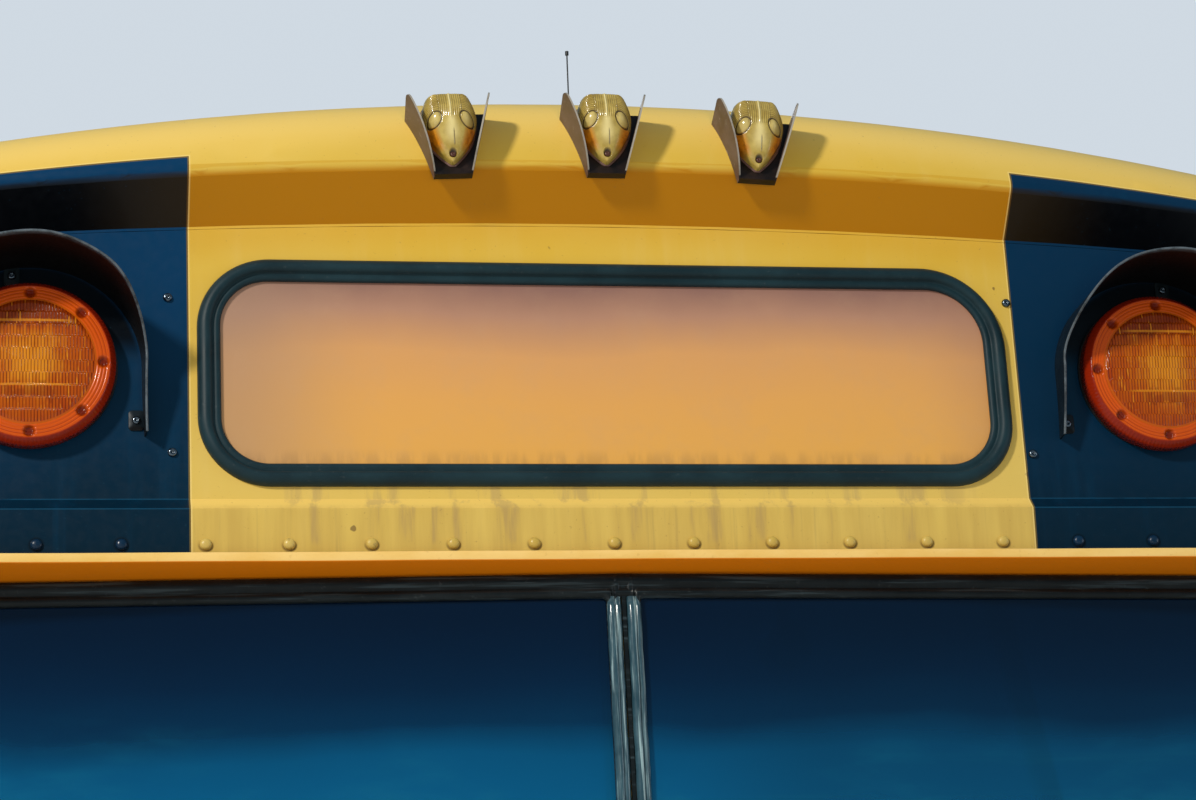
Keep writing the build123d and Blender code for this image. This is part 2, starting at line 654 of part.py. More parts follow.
def marker_lens():
    """Teardrop lens: its outline, its side view and its arched section cut from one another."""
    foot = MARKER_PLATE_T + SEAT
    low, high, middle = MARKER_LENS_NOSE, MARKER_LENS_TOP, MARKER_LENS_WIDE
    top, wide, nose = MARKER_TOP_W / 2, MARKER_LENS_W / 2, MARKER_NOSE_W / 2
    crest, shoulder, flank = foot + MARKER_LENS_H, foot + MARKER_TOP_H, foot + MARKER_SIDE_H
    tip = foot + MARKER_NOSE_H
    outline = Face(Wire([
        line((-top, high, foot), (top, high, foot)),
        arc((top, high, foot), (wide, middle, foot), (nose, low, foot)),
        line((nose, low, foot), (-nose, low, foot)),
        arc((-nose, low, foot), (-wide, middle, foot), (-top, high, foot)),
    ]))
    side = Face(Wire([
        line((0, low, foot), (0, high, foot)),
        line((0, high, foot), (0, high, shoulder)),
        arc((0, high, shoulder), (0, middle, crest), (0, low, tip)),
        line((0, low, tip), (0, low, foot)),
    ]))
    section = Face(Wire([
        line((-wide, 0, foot), (wide, 0, foot)),
        line((wide, 0, foot), (wide, 0, flank)),
        arc((wide, 0, flank), (0, 0, crest), (-wide, 0, flank)),
        line((-wide, 0, flank), (-wide, 0, foot)),
    ]))
    body = extrude(outline, amount=2 * MARKER_LENS_H, dir=(0, 0, 1))
    body = body & extrude(side, amount=MARKER_LENS_W, dir=(1, 0, 0), both=True)
    return body & extrude(section, amount=2 * MARKER_LENS_TOP, dir=(0, 1, 0), both=True)


# Inside pieces

def hinge_places():
    """X of every hinge: two on each door."""
    return [side * DOOR_X + step * DOOR_W * HINGE_AT for side in (-1, 1) for step in (-1, 1)]


def hinge_axis():
    """Y and Z of the doors' pins."""
    return INNER_Y + INNER_T + DOOR_GAP + HINGE_R, DOOR_Z + DOOR_H + DOOR_LAP + HINGE_R


def hinge_bracket(x):
    """Two ears on the panel with the pin between them."""
    y, z = hinge_axis()
    reach = HINGE_LEN / 2 + HINGE_GAP
    pin = Pos(x, y, z) * Rot(0, 90, 0) * Cylinder(HINGE_PIN_R, 2 * (reach + HINGE_EAR) - HINGE_GAP)
    for side in (-1, 1):
        ear = box((x + side * reach, x + side * (reach + HINGE_EAR)), (INNER_Y + INNER_T / 2, y),
                  (z - HINGE_R, z + HINGE_R))
        knuckle = Pos(x + side * (reach + HINGE_EAR / 2), y, z) * Rot(0, 90, 0) * Cylinder(HINGE_R, HINGE_EAR)
        pin = pin + ear + knuckle
    return pin


def inner_header():
    """Inside panel that closes the lamp space, with the openings of its two access doors."""
    face = roof_outline(INNER_Y, SHEET + INNER_GAP, RIVET_Z - FLANGE_DROP)
    panel = extrude(face, amount=INNER_T, dir=(0, 1, 0))
    for x in hinge_places():
        panel = panel + hinge_bracket(x)
    for side in (-1, 1):
        panel = panel - box((side * DOOR_X - DOOR_W / 2, side * DOOR_X + DOOR_W / 2),
                            (INNER_Y - INNER_T, INNER_Y + 2 * INNER_T), (DOOR_Z, DOOR_Z + DOOR_H))
    return panel


def header_shelf():
    """Floor of the lamp space, from behind the screen's frame to under the inside panel."""
    end, back = HEADER_HALF - PANEL_GAP, INNER_Y + INNER_T
    low, high = SHELF_Z, SHELF_Z + INNER_T - SEAT
    plan = [(0, screen_y(0, low) + SHEET + SEAT), (end, screen_y(end, low) + SHEET + SEAT), (end, back),
            (-end, back), (-end, screen_y(end, low) + SHEET + SEAT)]
    return leaning_prism(plan, low, high)


def access_door(side):
    """Pressed door with folded edges, hung from pins along its top, behind its opening."""
    x = side * DOOR_X
    y, z = hinge_axis()
    front = INNER_Y + INNER_T + DOOR_GAP
    back = front + DOOR_RIM
    half = DOOR_W / 2 + DOOR_LAP
    low, high = DOOR_Z - DOOR_LAP, z - HINGE_R - HINGE_GAP
    door = box((x - half, x + half), (front, back), (low, high))
    door = door - box((x - half + DOOR_T, x + half - DOOR_T), (front - PAST, back - DOOR_T),
                      (low + DOOR_T, high - DOOR_T))
    for step in (-1, 1):
        middle = x + step * DOOR_W * HINGE_AT
        place = Pos(middle, y, z) * Rot(0, 90, 0)
        width = (middle - HINGE_LEN / 2, middle + HINGE_LEN / 2)
        tab = box(width, (back - DOOR_T, back), (high - HINGE_R, z))
        door = door + place * Cylinder(HINGE_R, HINGE_LEN) + tab
        door = door - place * Cylinder(HINGE_PIN_R + HINGE_FIT, HINGE_LEN + HINGE_GAP)
    return door


def roof_bow(y):
    """Tubular rib across the roof, close under the skin."""
    gap = SHEET + SEAT
    return roof_ring(y, y + BOW_DEPTH, gap, gap + BOW_H, SEAM_Z)


def antenna():
    """Short whip with a knob at its tip and a round foot on the roof."""
    seat, tip = TOP_Z + SEAT, TOP_Z + ANTENNA_H
    collar, knob = seat + ANTENNA_FOOT_H, tip - ANTENNA_TIP_H
    return Pos(0, ANTENNA_Y, 0) * turned([
        (0, seat), (ANTENNA_FOOT_R, seat), (ANTENNA_FOOT_R, collar), (ANTENNA_R, collar),
        (ANTENNA_R, knob), (ANTENNA_TIP_R, knob), (ANTENNA_TIP_R, tip), (0, tip)])


def inner_fitting():
    """Round fitting behind the glass: a drum on a bracket under the header shelf."""
    top = SHELF_Z - SEAT
    drum = Pos(FITTING_X, FITTING_Y, top - FITTING_DROP) * Rot(90, 0, 0) * Cylinder(FITTING_R, FITTING_DEPTH)
    stem = box((FITTING_X - FITTING_STEM / 2, FITTING_X + FITTING_STEM / 2),
               (FITTING_Y - FITTING_STEM / 2, FITTING_Y + FITTING_STEM / 2), (top - FITTING_DROP, top))
    plate = box((FITTING_X - FITTING_R, FITTING_X + FITTING_R),
                (FITTING_Y - FITTING_STEM, FITTING_Y + FITTING_STEM), (top - FITTING_PLATE_T, top))
    return drum + stem + plate


def grab_pole():
    """Leaning pole from the header shelf down to the sill, with a round plate at each end."""
    top = Vector(POLE_TOP_X, POLE_TOP_Y, SHELF_Z - SEAT)
    foot = Vector(POLE_FOOT_X, POLE_FOOT_Y, SILL_H + SEAT)
    run = top - foot
    spare = run.normalized() * 3 * POLE_R
    tube = Solid.make_cylinder(POLE_R, run.length + 6 * POLE_R, Plane(tuple(foot - spare), z_dir=tuple(run)))
    tube = tube & box((0, FAR), (-FAR, FAR), (foot.Z, top.Z))
    half = POLE_PLATE_T / 2
    low_plate = Pos(foot.X, foot.Y, foot.Z + half) * Cylinder(POLE_PLATE_R, POLE_PLATE_T)
    return tube + low_plate + Pos(top.X, top.Y, top.Z - half) * Cylinder(POLE_PLATE_R, POLE_PLATE_T)


def save(name, shape):
    shape.label = name
    export_step(shape, f"parts/{name}.step")


os.makedirs("parts", exist_ok=True)

skin = cap_shell()
save("roof_cap", cap_panel(skin, 0))
save("header_panel", header_panel())
save("windscreen_frame", windscreen_frame())
save("drip_rail", drip_rail())
save("windscreen_post", windscreen_post())
save("windscreen_post_strip", post_strip())
save("windscreen_sill", windscreen_sill())

SIDES = (("right", -1), ("left", 1))
for name, side in SIDES:
    save(f"cap_corner_{name}", cap_panel(skin, side))
    save(f"pillar_{name}", pillar(side))
    save(f"windscreen_gasket_{name}", windscreen_gasket(side).moved(screen_plane(side).location))
    save(f"windscreen_glass_{name}", windscreen_glass(side).moved(screen_plane(side).location))
    save(f"access_door_{name}", access_door(side))

at_sign = face_plane(0, SIGN_Z).location
save("sign_gasket", sign_gasket().moved(at_sign))
save("sign_panel", sign_panel().moved(at_sign))
save("sign_light_box", sign_box().moved(at_sign))

# lamp colour, distance from the centre line
for colour, distance in (("amber", AMBER_X), ("red", RED_X)):
    for name, side in SIDES:
        place = face_plane(side * distance, LAMP_Z).location
        save(f"{colour}_lens_{name}", lamp_lens().moved(place))
        save(f"{colour}_housing_{name}", lamp_housing().moved(place))
        save(f"{colour}_hood_{name}", lamp_hood().moved(place))

# marker lamp's name, pitches from the middle one
for name, step in (("right", -1), ("centre", 0), ("left", 1)):
    plane = marker_plane(MARKER_X0 + step * MARKER_PITCH)
    place = plane.location * Pos(0, 0, SEAT)
    save(f"marker_bracket_{name}", marker_bracket().moved(place))
    save(f"marker_lens_{name}", marker_lens().moved(place))

save("inner_header", inner_header())
save("header_shelf", header_shelf())
for name, y in zip(("front", "rear"), BOWS_Y):
    save(f"roof_bow_{name}", roof_bow(y))
save("antenna", antenna())
save("grab_pole", grab_pole())
save("inner_fitting", inner_fitting())
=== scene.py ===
import bpy
from math import asin, atan2, cos, degrees, exp, hypot, pi, radians, sin, tan
from mathutils import Matrix, Vector


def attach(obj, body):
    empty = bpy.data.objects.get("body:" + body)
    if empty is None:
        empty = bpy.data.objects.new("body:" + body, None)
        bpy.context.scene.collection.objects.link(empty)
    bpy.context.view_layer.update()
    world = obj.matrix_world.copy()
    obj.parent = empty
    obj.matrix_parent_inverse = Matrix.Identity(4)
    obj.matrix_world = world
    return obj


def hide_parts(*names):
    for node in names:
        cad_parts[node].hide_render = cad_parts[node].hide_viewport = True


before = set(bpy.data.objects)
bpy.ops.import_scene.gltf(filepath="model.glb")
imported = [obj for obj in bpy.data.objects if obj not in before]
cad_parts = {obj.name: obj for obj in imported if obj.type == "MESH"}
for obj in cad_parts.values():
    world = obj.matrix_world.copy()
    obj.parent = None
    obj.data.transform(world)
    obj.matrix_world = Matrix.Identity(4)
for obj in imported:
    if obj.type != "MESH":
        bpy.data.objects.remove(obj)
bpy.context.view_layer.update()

# Places in metres, nearly all as in the solids. X to the bus's left, Y into the bus, Z up.
BODY = "front"
RIVET_Z = 1.0               # rivet row on the header's flange
LEAN = radians(4)           # the front leans back at the top
SLOPE = tan(LEAN)
FACE_Y = -0.023             # header face at the rivet row
FLANGE_Y = -0.032           # front of the flange under the header
LAMP_Z = RIVET_Z + 0.202
LAMPS_X = {"amber": 0.6525, "red": 0.9195}
SIGN_Z = RIVET_Z + 0.1995
SIGN_HALF = (0.47, 0.133)
SIGN_CORNERS = (0.078, 0.1, 0.082, 0.08)        # bus's left lower and upper, right upper and lower
SIGN_RING = 0.026           # width of its rubber
SIGN_INNER_CORNERS = (0.053, 0.067, 0.053, 0.053)
TOP_Z = RIVET_Z + 0.546
CROWN_R = 3.95
ROLL_R = 0.118
BROW_Y = -0.042
GLASS_TOP = RIVET_Z - 0.06
GLASS_H = 0.81
GLASS_Y = -0.014
GLASS_END = 1.03
SWEEP_SLOPE = tan(radians(3))
POST_GAP = 0.0025
POST_STRIP = 0.017
GASKET_W = 0.028
MARKERS_X = {"right": -0.188, "centre": -0.0055, "left": 0.177}
MARKER_TILT = radians(18)
SIDES = (("right", -1), ("left", 1))

# Black paint round the lamps
BLACK_MIDDLE = 0.0016
BLACK_INNER = 0.482         # from the middle
BLACK_OUTER = 1.094
BLACK_TOP = RIVET_Z + 0.4635    # on the centre line, falling with the roof's curve
BLACK_FALL = 0.0967
BLACK_BACK = 0.08           # nothing inside the section is black
RIVET_PITCH = 0.0906
RIVET_X0 = -0.01
ROOF_ROWS = (0.345, 0.505)

# Camera, fitted to the photograph
CAMERA_AT = Vector((-0.6304, -3.1748, 0.4003))
CAMERA_YAW = 0.191
CAMERA_PITCH = 0.2342
CAMERA_ROLL = 0.0396
FOCAL_PX = 2916.3
PHOTO_WIDTH = 1196
SENSOR = 36.0


def face_y(z):
    return FACE_Y + (z - RIVET_Z) * SLOPE


def frame_at(origin, across, up):
    """Matrix of a work plane: X across, Y up, Z outwards."""
    x, y = Vector(across).normalized(), Vector(up).normalized()
    z = x.cross(y)
    return Matrix.Translation(origin) @ Matrix((x, y, z)).transposed().to_4x4()


def on_face(x, z):
    """Work plane on the leaning header."""
    return frame_at((x, face_y(z), z), (1, 0, 0), (0, sin(LEAN), cos(LEAN)))


def on_back(x, y, z):
    """Work plane that faces the back of the bus."""
    return frame_at((x, y, z), (-1, 0, 0), (0, 0, 1))


def on_screen(side):
    """Work plane on one half of the windscreen's frame."""
    return frame_at((0, GLASS_Y, GLASS_TOP), (1, side * SWEEP_SLOPE, 0), (0, SLOPE, 1))


def on_brow(x):
    """Work plane of a marker lamp on the brow's roll."""
    lie = asin(x / CROWN_R)
    ring = CROWN_R - ROLL_R + ROLL_R * sin(MARKER_TILT)
    origin = (ring * sin(lie), BROW_Y + ROLL_R * (1 - cos(MARKER_TILT)), TOP_Z - CROWN_R + ring * cos(lie))
    across = Vector((cos(lie), 0, -sin(lie)))
    out = Vector((sin(MARKER_TILT) * sin(lie), -cos(MARKER_TILT), sin(MARKER_TILT) * cos(lie)))
    return frame_at(origin, across, out.cross(across))


def on_roof(x, y):
    """Work plane on the crown of the roof, Y towards the back."""
    lie = asin(x / CROWN_R)
    origin = (x, y, TOP_Z - CROWN_R + CROWN_R * cos(lie))
    return frame_at(origin, (cos(lie), 0, -sin(lie)), (0, 1, 0))


# Shader trees

class Tree:
    """A material's node tree, with short names for its nodes and the colour laid down so far."""

    def __init__(self, name):
        self.material = bpy.data.materials.new(name)
        self.material.use_nodes = True
        self.nodes = self.material.node_tree.nodes
        self.nodes.clear()
        self.shader = self.add("ShaderNodeBsdfPrincipled")
        output = self.add("ShaderNodeOutputMaterial")
        self.material.node_tree.links.new(self.shader.outputs[0], output.inputs[0])
        self.colour = None

    def add(self, kind, settings=None, **values):
        node = self.nodes.new(kind)
        for key, value in (settings or {}).items():
            setattr(node, key, value)
        for key, value in values.items():
            self.put(node.inputs[key.replace("_", " ")], value)
        return node

    def put(self, socket, value):
        if isinstance(value, bpy.types.NodeSocket):
            self.material.node_tree.links.new(value, socket)
        elif socket.type == "RGBA" and len(value) == 3:
            socket.default_value = (*value, 1)
        else:
            socket.default_value = value

    def set(self, **values):
        """Put the colour and these values on the shader, and give back the material."""
        for key, value in {"Base_Color": self.colour, **values}.items():
            self.put(self.shader.inputs[key.replace("_", " ")], value)
        return self.material

    def place(self):
        return self.add("ShaderNodeTexCoord").outputs["Object"]

    def xyz(self):
        return self.add("ShaderNodeSeparateXYZ", Vector=self.place()).outputs

    def facing(self):
        """Parts of the surface's normal."""
        normal = self.add("ShaderNodeNewGeometry").outputs["Normal"]
        return self.add("ShaderNodeSeparateXYZ", Vector=normal).outputs

    def attribute(self, name, output="Fac"):
        return self.add("ShaderNodeAttribute", {"attribute_name": name}).outputs[output]

    def stretched(self, x, y, z):
        node = self.add("ShaderNodeMapping", Vector=self.place())
        node.inputs["Scale"].default_value = (x, y, z)
        return node.outputs[0]

    def noise(self, scale, detail, rough, at=None):
        return self.add("ShaderNodeTexNoise", Vector=at or self.place(), Scale=scale, Detail=detail,
                        Roughness=rough).outputs["Fac"]

    def math(self, kind, a, b=0.0):
        node = self.add("ShaderNodeMath", {"operation": kind})
        for socket, value in zip(node.inputs, (a, b)):
            self.put(socket, value)
        return node.outputs[0]

    def plus(self, a, b):
        return self.math("ADD", a, b)

    def minus(self, a, b):
        return self.math("SUBTRACT", a, b)

    def size(self, value):
        return self.math("ABSOLUTE", value)

    def times(self, *values):
        product = values[0]
        for value in values[1:]:
            product = self.math("MULTIPLY", product, value)
        return product

    def step(self, value, low, high, a=0.0, b=1.0):
        """Smooth change from a to b as value goes from low to high."""
        node = self.add("ShaderNodeMapRange", {"interpolation_type": "SMOOTHSTEP"}, Value=value,
                        From_Min=low, From_Max=high, To_Min=a, To_Max=b)
        return node.outputs[0]

    def band(self, value, low, high, soft):
        """One between two values, nought outside them."""
        return self.times(self.step(value, low - soft, low), self.step(value, high + soft, high))

    def mix(self, share, a, b):
        node = self.add("ShaderNodeMix", {"data_type": "RGBA"})
        self.put(node.inputs["Factor"], share)
        self.put(node.inputs[6], a)
        self.put(node.inputs[7], b)
        return node.outputs[2]

    def coat(self, colour, *shares):
        """Lay a colour over the one so far, as strong as the product of the shares."""
        self.colour = self.mix(self.times(*shares), self.colour, colour)

    def ramp(self, value, stops):
        node = self.add("ShaderNodeValToRGB", Fac=value)
        ends = node.color_ramp.elements
        while len(ends) < len(stops):
            ends.new(0.5)
        for end, (place, colour) in zip(ends, stops):
            end.position = place
            end.color = (*colour, 1)
        return node.outputs[0]

    def bump(self, height, distance, strength, below=None):
        node = self.add("ShaderNodeBump", Height=height, Distance=distance, Strength=strength)
        if below:
            self.put(node.inputs["Normal"], below)
        return node.outputs[0]


# Finishes

def rivet_spot(t, x, z):
    """Distance from the nearest rivet of the flange's row, as far as the shader can tell."""
    turns = t.math("DIVIDE", t.minus(x, RIVET_X0), RIVET_PITCH)
    off = t.times(t.minus(turns, t.math("ROUND", turns)), RIVET_PITCH)
    below = t.minus(z, RIVET_Z)
    return off, below, t.math("SQRT", t.plus(t.times(off, off), t.times(below, below)))


def body_paint(name, black=False):
    """Weathered yellow coach paint; the header and the roof also carry the black round the lamps."""
    t = Tree(name)
    x, y, z = t.xyz()
    up = t.facing()["Z"]
    broad = t.noise(2.3, 5, 0.6)
    streaks = t.noise(1.0, 6, 0.65, t.stretched(30, 30, 2.0))
    t.colour = t.mix(t.step(broad, 0.3, 0.72), (0.64, 0.4, 0.036), (0.66, 0.455, 0.085))
    # chalky low on the header and where rain has run
    chalk = t.step(t.plus(z, t.times(broad, 0.1)), RIVET_Z + 0.42, RIVET_Z + 0.1)
    t.coat((0.67, 0.5, 0.15), chalk, t.step(up, 0.4, 0.1), 0.55)
    t.coat((0.7, 0.52, 0.17), t.step(streaks, 0.5, 0.78), 0.25)
    # painted light and shade: paler on faces turned up, deep orange on faces turned down where no sun
    # reaches
    t.coat((0.84, 0.575, 0.145), t.step(up, 0.15, 0.75))
    t.coat((0.48, 0.195, 0.0006), t.step(up, -0.12, -0.5))
    # painted shade along the header's top, just under the brow, on faces that look ahead
    high = t.step(t.plus(z, t.times(x, x, BLACK_FALL)), RIVET_Z + 0.34, RIVET_Z + 0.38)
    t.coat((0.56, 0.29, 0.018), high, t.step(t.size(up), 0.12, 0.08), 0.4)
    # road film on the flange, soot under the sign
    low = t.band(z, RIVET_Z - 0.012, RIVET_Z + 0.036, 0.012)
    runs = t.noise(1.0, 5, 0.6, t.stretched(34, 34, 3.0))
    t.coat((0.47, 0.3, 0.07), low, t.step(runs, 0.25, 0.7), 0.6)
    fine_runs = t.noise(1.0, 4, 0.6, t.stretched(110, 110, 4.0))
    t.coat((0.35, 0.24, 0.08), low, t.step(fine_runs, 0.55, 0.72), 0.3)
    soot = t.times(t.band(z, RIVET_Z + 0.006, RIVET_Z + 0.066, 0.01), t.step(runs, 0.54, 0.66),
                   t.band(x, -0.34, 0.36, 0.08))
    t.coat((0.3, 0.21, 0.12), soot, 0.38)
    # a dark crescent under each rivet of the flange row is painted shadow; thin drips run down below them
    off, below, near = rivet_spot(t, x, z)
    row = t.band(z, RIVET_Z - 0.03, RIVET_Z + 0.03, 0.002)
    ring = t.times(row, t.step(near, 0.0098, 0.0075))
    drip = t.times(row, t.step(t.size(off), 0.006, 0.002), t.step(below, 0.0, -0.004))
    rivet_shadow_and_drip = t.math("MAXIMUM", t.times(ring, t.step(below, 0.006, -0.006), 0.7), t.times(drip, 0.3))
    t.coat((0.1, 0.055, 0.015), rivet_shadow_and_drip)
    specks = t.step(t.noise(300, 2, 0.5), 0.7, 0.76)
    t.coat((0.3, 0.17, 0.05), specks, 0.35)
    chips = t.step(t.noise(38, 2, 0.4), 0.735, 0.75)
    t.coat((0.13, 0.075, 0.03), chips, t.band(up, -0.1, 0.1, 0.2), 0.7)
    rough = t.step(t.noise(90, 3, 0.6), 0.3, 0.75, 0.38, 0.52)
    height = t.times(t.noise(420, 2, 0.5), 0.35)
    if black:
        across = t.size(t.minus(x, BLACK_MIDDLE))
        top = t.minus(BLACK_TOP, t.times(x, x, BLACK_FALL))
        out = t.math("MAXIMUM", t.minus(BLACK_INNER, across), t.minus(z, top))
        out = t.math("MAXIMUM", out, t.minus(across, BLACK_OUTER))
        front = t.step(y, BLACK_BACK + 0.005, BLACK_BACK)
        zone = t.times(t.step(out, 0.0006, -0.0006), front)
        # painted highlight: a pale line on the yellow side of the black paint's edge, beside a thin dark
        # line at the edge
        t.coat((0.95, 0.74, 0.3), front, t.band(out, 0.0014, 0.0026, 0.0008), 0.4)
        t.coat((0.05, 0.028, 0.008), front, t.band(out, 0.0002, 0.0012, 0.0006), 0.85)
        # the black paint carries a painted reflection of the blue sky, stronger higher up
        painted_sky_reflection = t.step(t.plus(z, t.times(broad, 0.22)), RIVET_Z + 0.1, RIVET_Z + 0.44)
        yellow = t.colour
        t.colour = t.mix(painted_sky_reflection, (0.0008, 0.0135, 0.03), (0.001, 0.034, 0.1))
        t.coat((0.001, 0.012, 0.028), t.step(x, 0.0, 0.1), 0.45)
        t.coat((0.001, 0.04, 0.095), t.step(streaks, 0.5, 0.8), 0.35)
        # the folds of the flange catch the sky
        for fold in (0.0395, 0.0525):
            line = t.band(z, RIVET_Z + fold, RIVET_Z + fold + 0.0006, 0.0008)
            t.coat((0.01, 0.085, 0.17), line, t.step(streaks, 0.2, 0.5), 0.5)
        # painted shadow of each hood on the black panel round its lamp
        to_amber = t.size(t.minus(across, LAMPS_X["amber"]))
        to_red = t.size(t.minus(across, LAMPS_X["red"]))
        aside, above = t.math("MINIMUM", to_amber, to_red), t.minus(z, LAMP_Z)
        away = t.math("SQRT", t.plus(t.times(aside, aside), t.times(above, above)))
        hood_shadow = t.step(away, 0.124, 0.114)
        t.coat((0.0005, 0.0007, 0.001), hood_shadow, t.step(above, 0.0, 0.04), 0.95)
        # painted shade on faces turned down, with a brown painted reflection of the yellow near the black's
        # inner edge
        under = t.step(up, -0.12, -0.5)
        brown = t.times(t.step(across, BLACK_INNER + 0.14, BLACK_INNER), 0.75)
        t.coat(t.mix(brown, (0.001, 0.0016, 0.003), (0.02, 0.011, 0.002)), under)
        # painted shade in a ring round each rivet
        t.coat((0.0005, 0.002, 0.004), ring, 0.5)
        t.coat((0.01, 0.05, 0.09), specks, 0.3)
        t.colour = t.mix(zone, yellow, t.colour)
        rough = t.plus(rough, t.times(zone, -0.06))
        height = t.plus(height, t.times(zone, 1.5))
    waves = t.bump(t.noise(3.1, 2, 0.4), 0.004, 0.2)
    return t.set(Roughness=rough, Specular_IOR_Level=0.16, Coat_Weight=0.06, Coat_Roughness=0.12,
                 Normal=t.bump(height, 0.0002, 0.35, waves))


def rail_paint(name):
    """Orange paint of the drip rail, bleached on the lip's face, with painted shade in deep orange-red on
    the faces turned down, and dust in its grain.
    """
    t = Tree(name)
    bleach = t.noise(1.0, 5, 0.6, t.stretched(9, 30, 30))
    t.colour = t.mix(t.step(bleach, 0.3, 0.7), (0.8, 0.5, 0.13), (0.88, 0.6, 0.21))
    # painted shade: deep orange-red on the faces turned down
    t.coat((0.86, 0.23, 0.003), t.step(t.facing()["Z"], -0.3, -0.6))
    dust = t.step(t.noise(150, 4, 0.7), 0.58, 0.72)
    t.coat((0.45, 0.24, 0.06), dust, 0.22)
    return t.set(Roughness=t.step(bleach, 0.3, 0.8, 0.4, 0.52), Specular_IOR_Level=0.18,
                 Normal=t.bump(t.noise(260, 3, 0.6), 0.0003, 0.2))


def plain_paint(name, dark, light, rough, grain=300, wear=None, gloss=0.4):
    """Satin paint with soft blotches and an even grain, and worn specks where their colour is given."""
    t = Tree(name)
    t.colour = t.mix(t.step(t.noise(7, 5, 0.6), 0.3, 0.7), dark, light)
    if wear:
        worn = t.step(t.noise(60, 6, 0.7), 0.6, 0.7)
        t.coat(wear, worn, 0.7)
    grit = t.noise(grain, 3, 0.6)
    return t.set(Roughness=t.step(grit, 0.25, 0.8, rough - 0.08, rough + 0.12), Specular_IOR_Level=gloss,
                 Normal=t.bump(grit, 0.0004, 0.22))


def rubber(name, dark, light, rough, gloss=0.5, lines=None):
    """Black rubber with a bluish bloom, where given fine length-wise streaks of painted highlight, and dust
    in its pores.
    """
    t = Tree(name)
    bloom = t.noise(11, 6, 0.65)
    t.colour = t.mix(t.step(bloom, 0.35, 0.7), dark, light)
    # where given, streaks of painted highlight along the rubber
    if lines:
        along = t.noise(1.0, 4, 0.6, t.stretched(*lines[:3]))
        t.coat(lines[3], t.step(along, 0.52, 0.66))
    dust = t.step(t.noise(150, 4, 0.7), 0.6, 0.72)
    t.coat((0.07, 0.085, 0.09), dust, 0.3)
    pores = t.noise(700, 2, 0.5)
    return t.set(Roughness=t.step(bloom, 0.3, 0.75, rough - 0.06, rough + 0.1), Specular_IOR_Level=gloss,
                 Normal=t.bump(pores, 0.0003, 0.25))


def sign_plastic(name):
    """Lit sign panel, blank: mauve above, orange below, with rain marks at the foot."""
    t = Tree(name)
    x, _, z = t.xyz()
    up = t.math("DIVIDE", t.minus(z, SIGN_Z - 0.105), 0.21)
    patch = t.times(t.minus(t.noise(3.0, 4, 0.55), 0.5), 0.35)
    # darkest at the top edge: painted shade next to the rubber
    t.colour = t.ramp(t.plus(up, patch),
                      [(0.0, (0.72, 0.37, 0.075)), (0.35, (0.7, 0.35, 0.09)),
                       (0.62, (0.64, 0.32, 0.115)), (0.84, (0.42, 0.22, 0.145)),
                       (1.0, (0.25, 0.13, 0.105))])
    t.coat((0.4, 0.2, 0.12), t.step(x, 0.36, 0.45), 0.3)
    t.coat((0.34, 0.215, 0.15), t.step(x, -0.25, -0.45), 0.6)
    foot = t.times(t.step(z, SIGN_Z - 0.086, SIGN_Z - 0.102),
                   t.step(t.noise(1.0, 5, 0.6, t.stretched(60, 60, 12)), 0.4, 0.6))
    t.coat((0.17, 0.095, 0.05), foot, 0.22)
    t.coat((0.5, 0.32, 0.2), t.step(t.noise(16, 6, 0.7), 0.45, 0.75), 0.14)
    scratch = t.noise(1.0, 2, 0.5, t.stretched(30, 30, 900))
    return t.set(Roughness=t.step(scratch, 0.3, 0.8, 0.34, 0.46), Specular_IOR_Level=0.35, Coat_Weight=0.2,
                 Coat_Roughness=0.25, Normal=t.bump(scratch, 0.0003, 0.12))


def tinted_glass(name):
    """Blue laminated glass that darkens into a shade band along its top; the lighter blue lower down is part
    tint, part painted reflection of the sky.
    """
    t = Tree(name)
    x, _, z = t.xyz()
    wave = t.times(t.minus(t.noise(2.2, 3, 0.5, t.stretched(1, 1, 2.5)), 0.5), 0.06)
    height = t.plus(z, wave)
    # tint and painted sky reflection: lighter blue low, dark in the shade band at the top
    t.colour = t.ramp(t.step(height, RIVET_Z - 0.36, RIVET_Z - 0.06),
                      [(0.0, (0.0, 0.19, 0.43)), (0.38, (0.0, 0.12, 0.29)), (0.56, (0.0, 0.04, 0.115)),
                       (0.78, (0.0004, 0.02, 0.066)), (1.0, (0.0006, 0.01, 0.036))])
    t.coat((0.0006, 0.012, 0.035), t.step(x, 0.0, 0.25), 0.3)
    # painted reflection of the sky: lighter blue blotches low on the panes
    cloud = t.noise(3.2, 6, 0.62, t.stretched(0.8, 1, 2.6))
    low = t.step(z, RIVET_Z - 0.15, RIVET_Z - 0.33)
    t.coat((0.01, 0.24, 0.4), low, t.step(cloud, 0.5, 0.7), 0.55)
    # long soft streaks aslant on the left half
    slant = t.add("ShaderNodeMapping", Vector=t.place())
    slant.inputs["Rotation"].default_value = (0, radians(34), 0)
    slant.inputs["Scale"].default_value = (1.2, 1.0, 26.0)
    streak = t.noise(1.0, 4, 0.6, slant.outputs[0])
    t.coat((0.008, 0.17, 0.3), t.step(x, 0.0, 0.2), t.step(streak, 0.55, 0.72), low, 0.55)
    clear = t.step(height, RIVET_Z - 0.08, RIVET_Z - 0.36, 0.34, 0.58)
    smear = t.noise(4.0, 6, 0.7)
    return t.set(Roughness=t.step(smear, 0.3, 0.8, 0.02, 0.05), IOR=1.5, Transmission_Weight=clear,
                 Specular_IOR_Level=0.12)


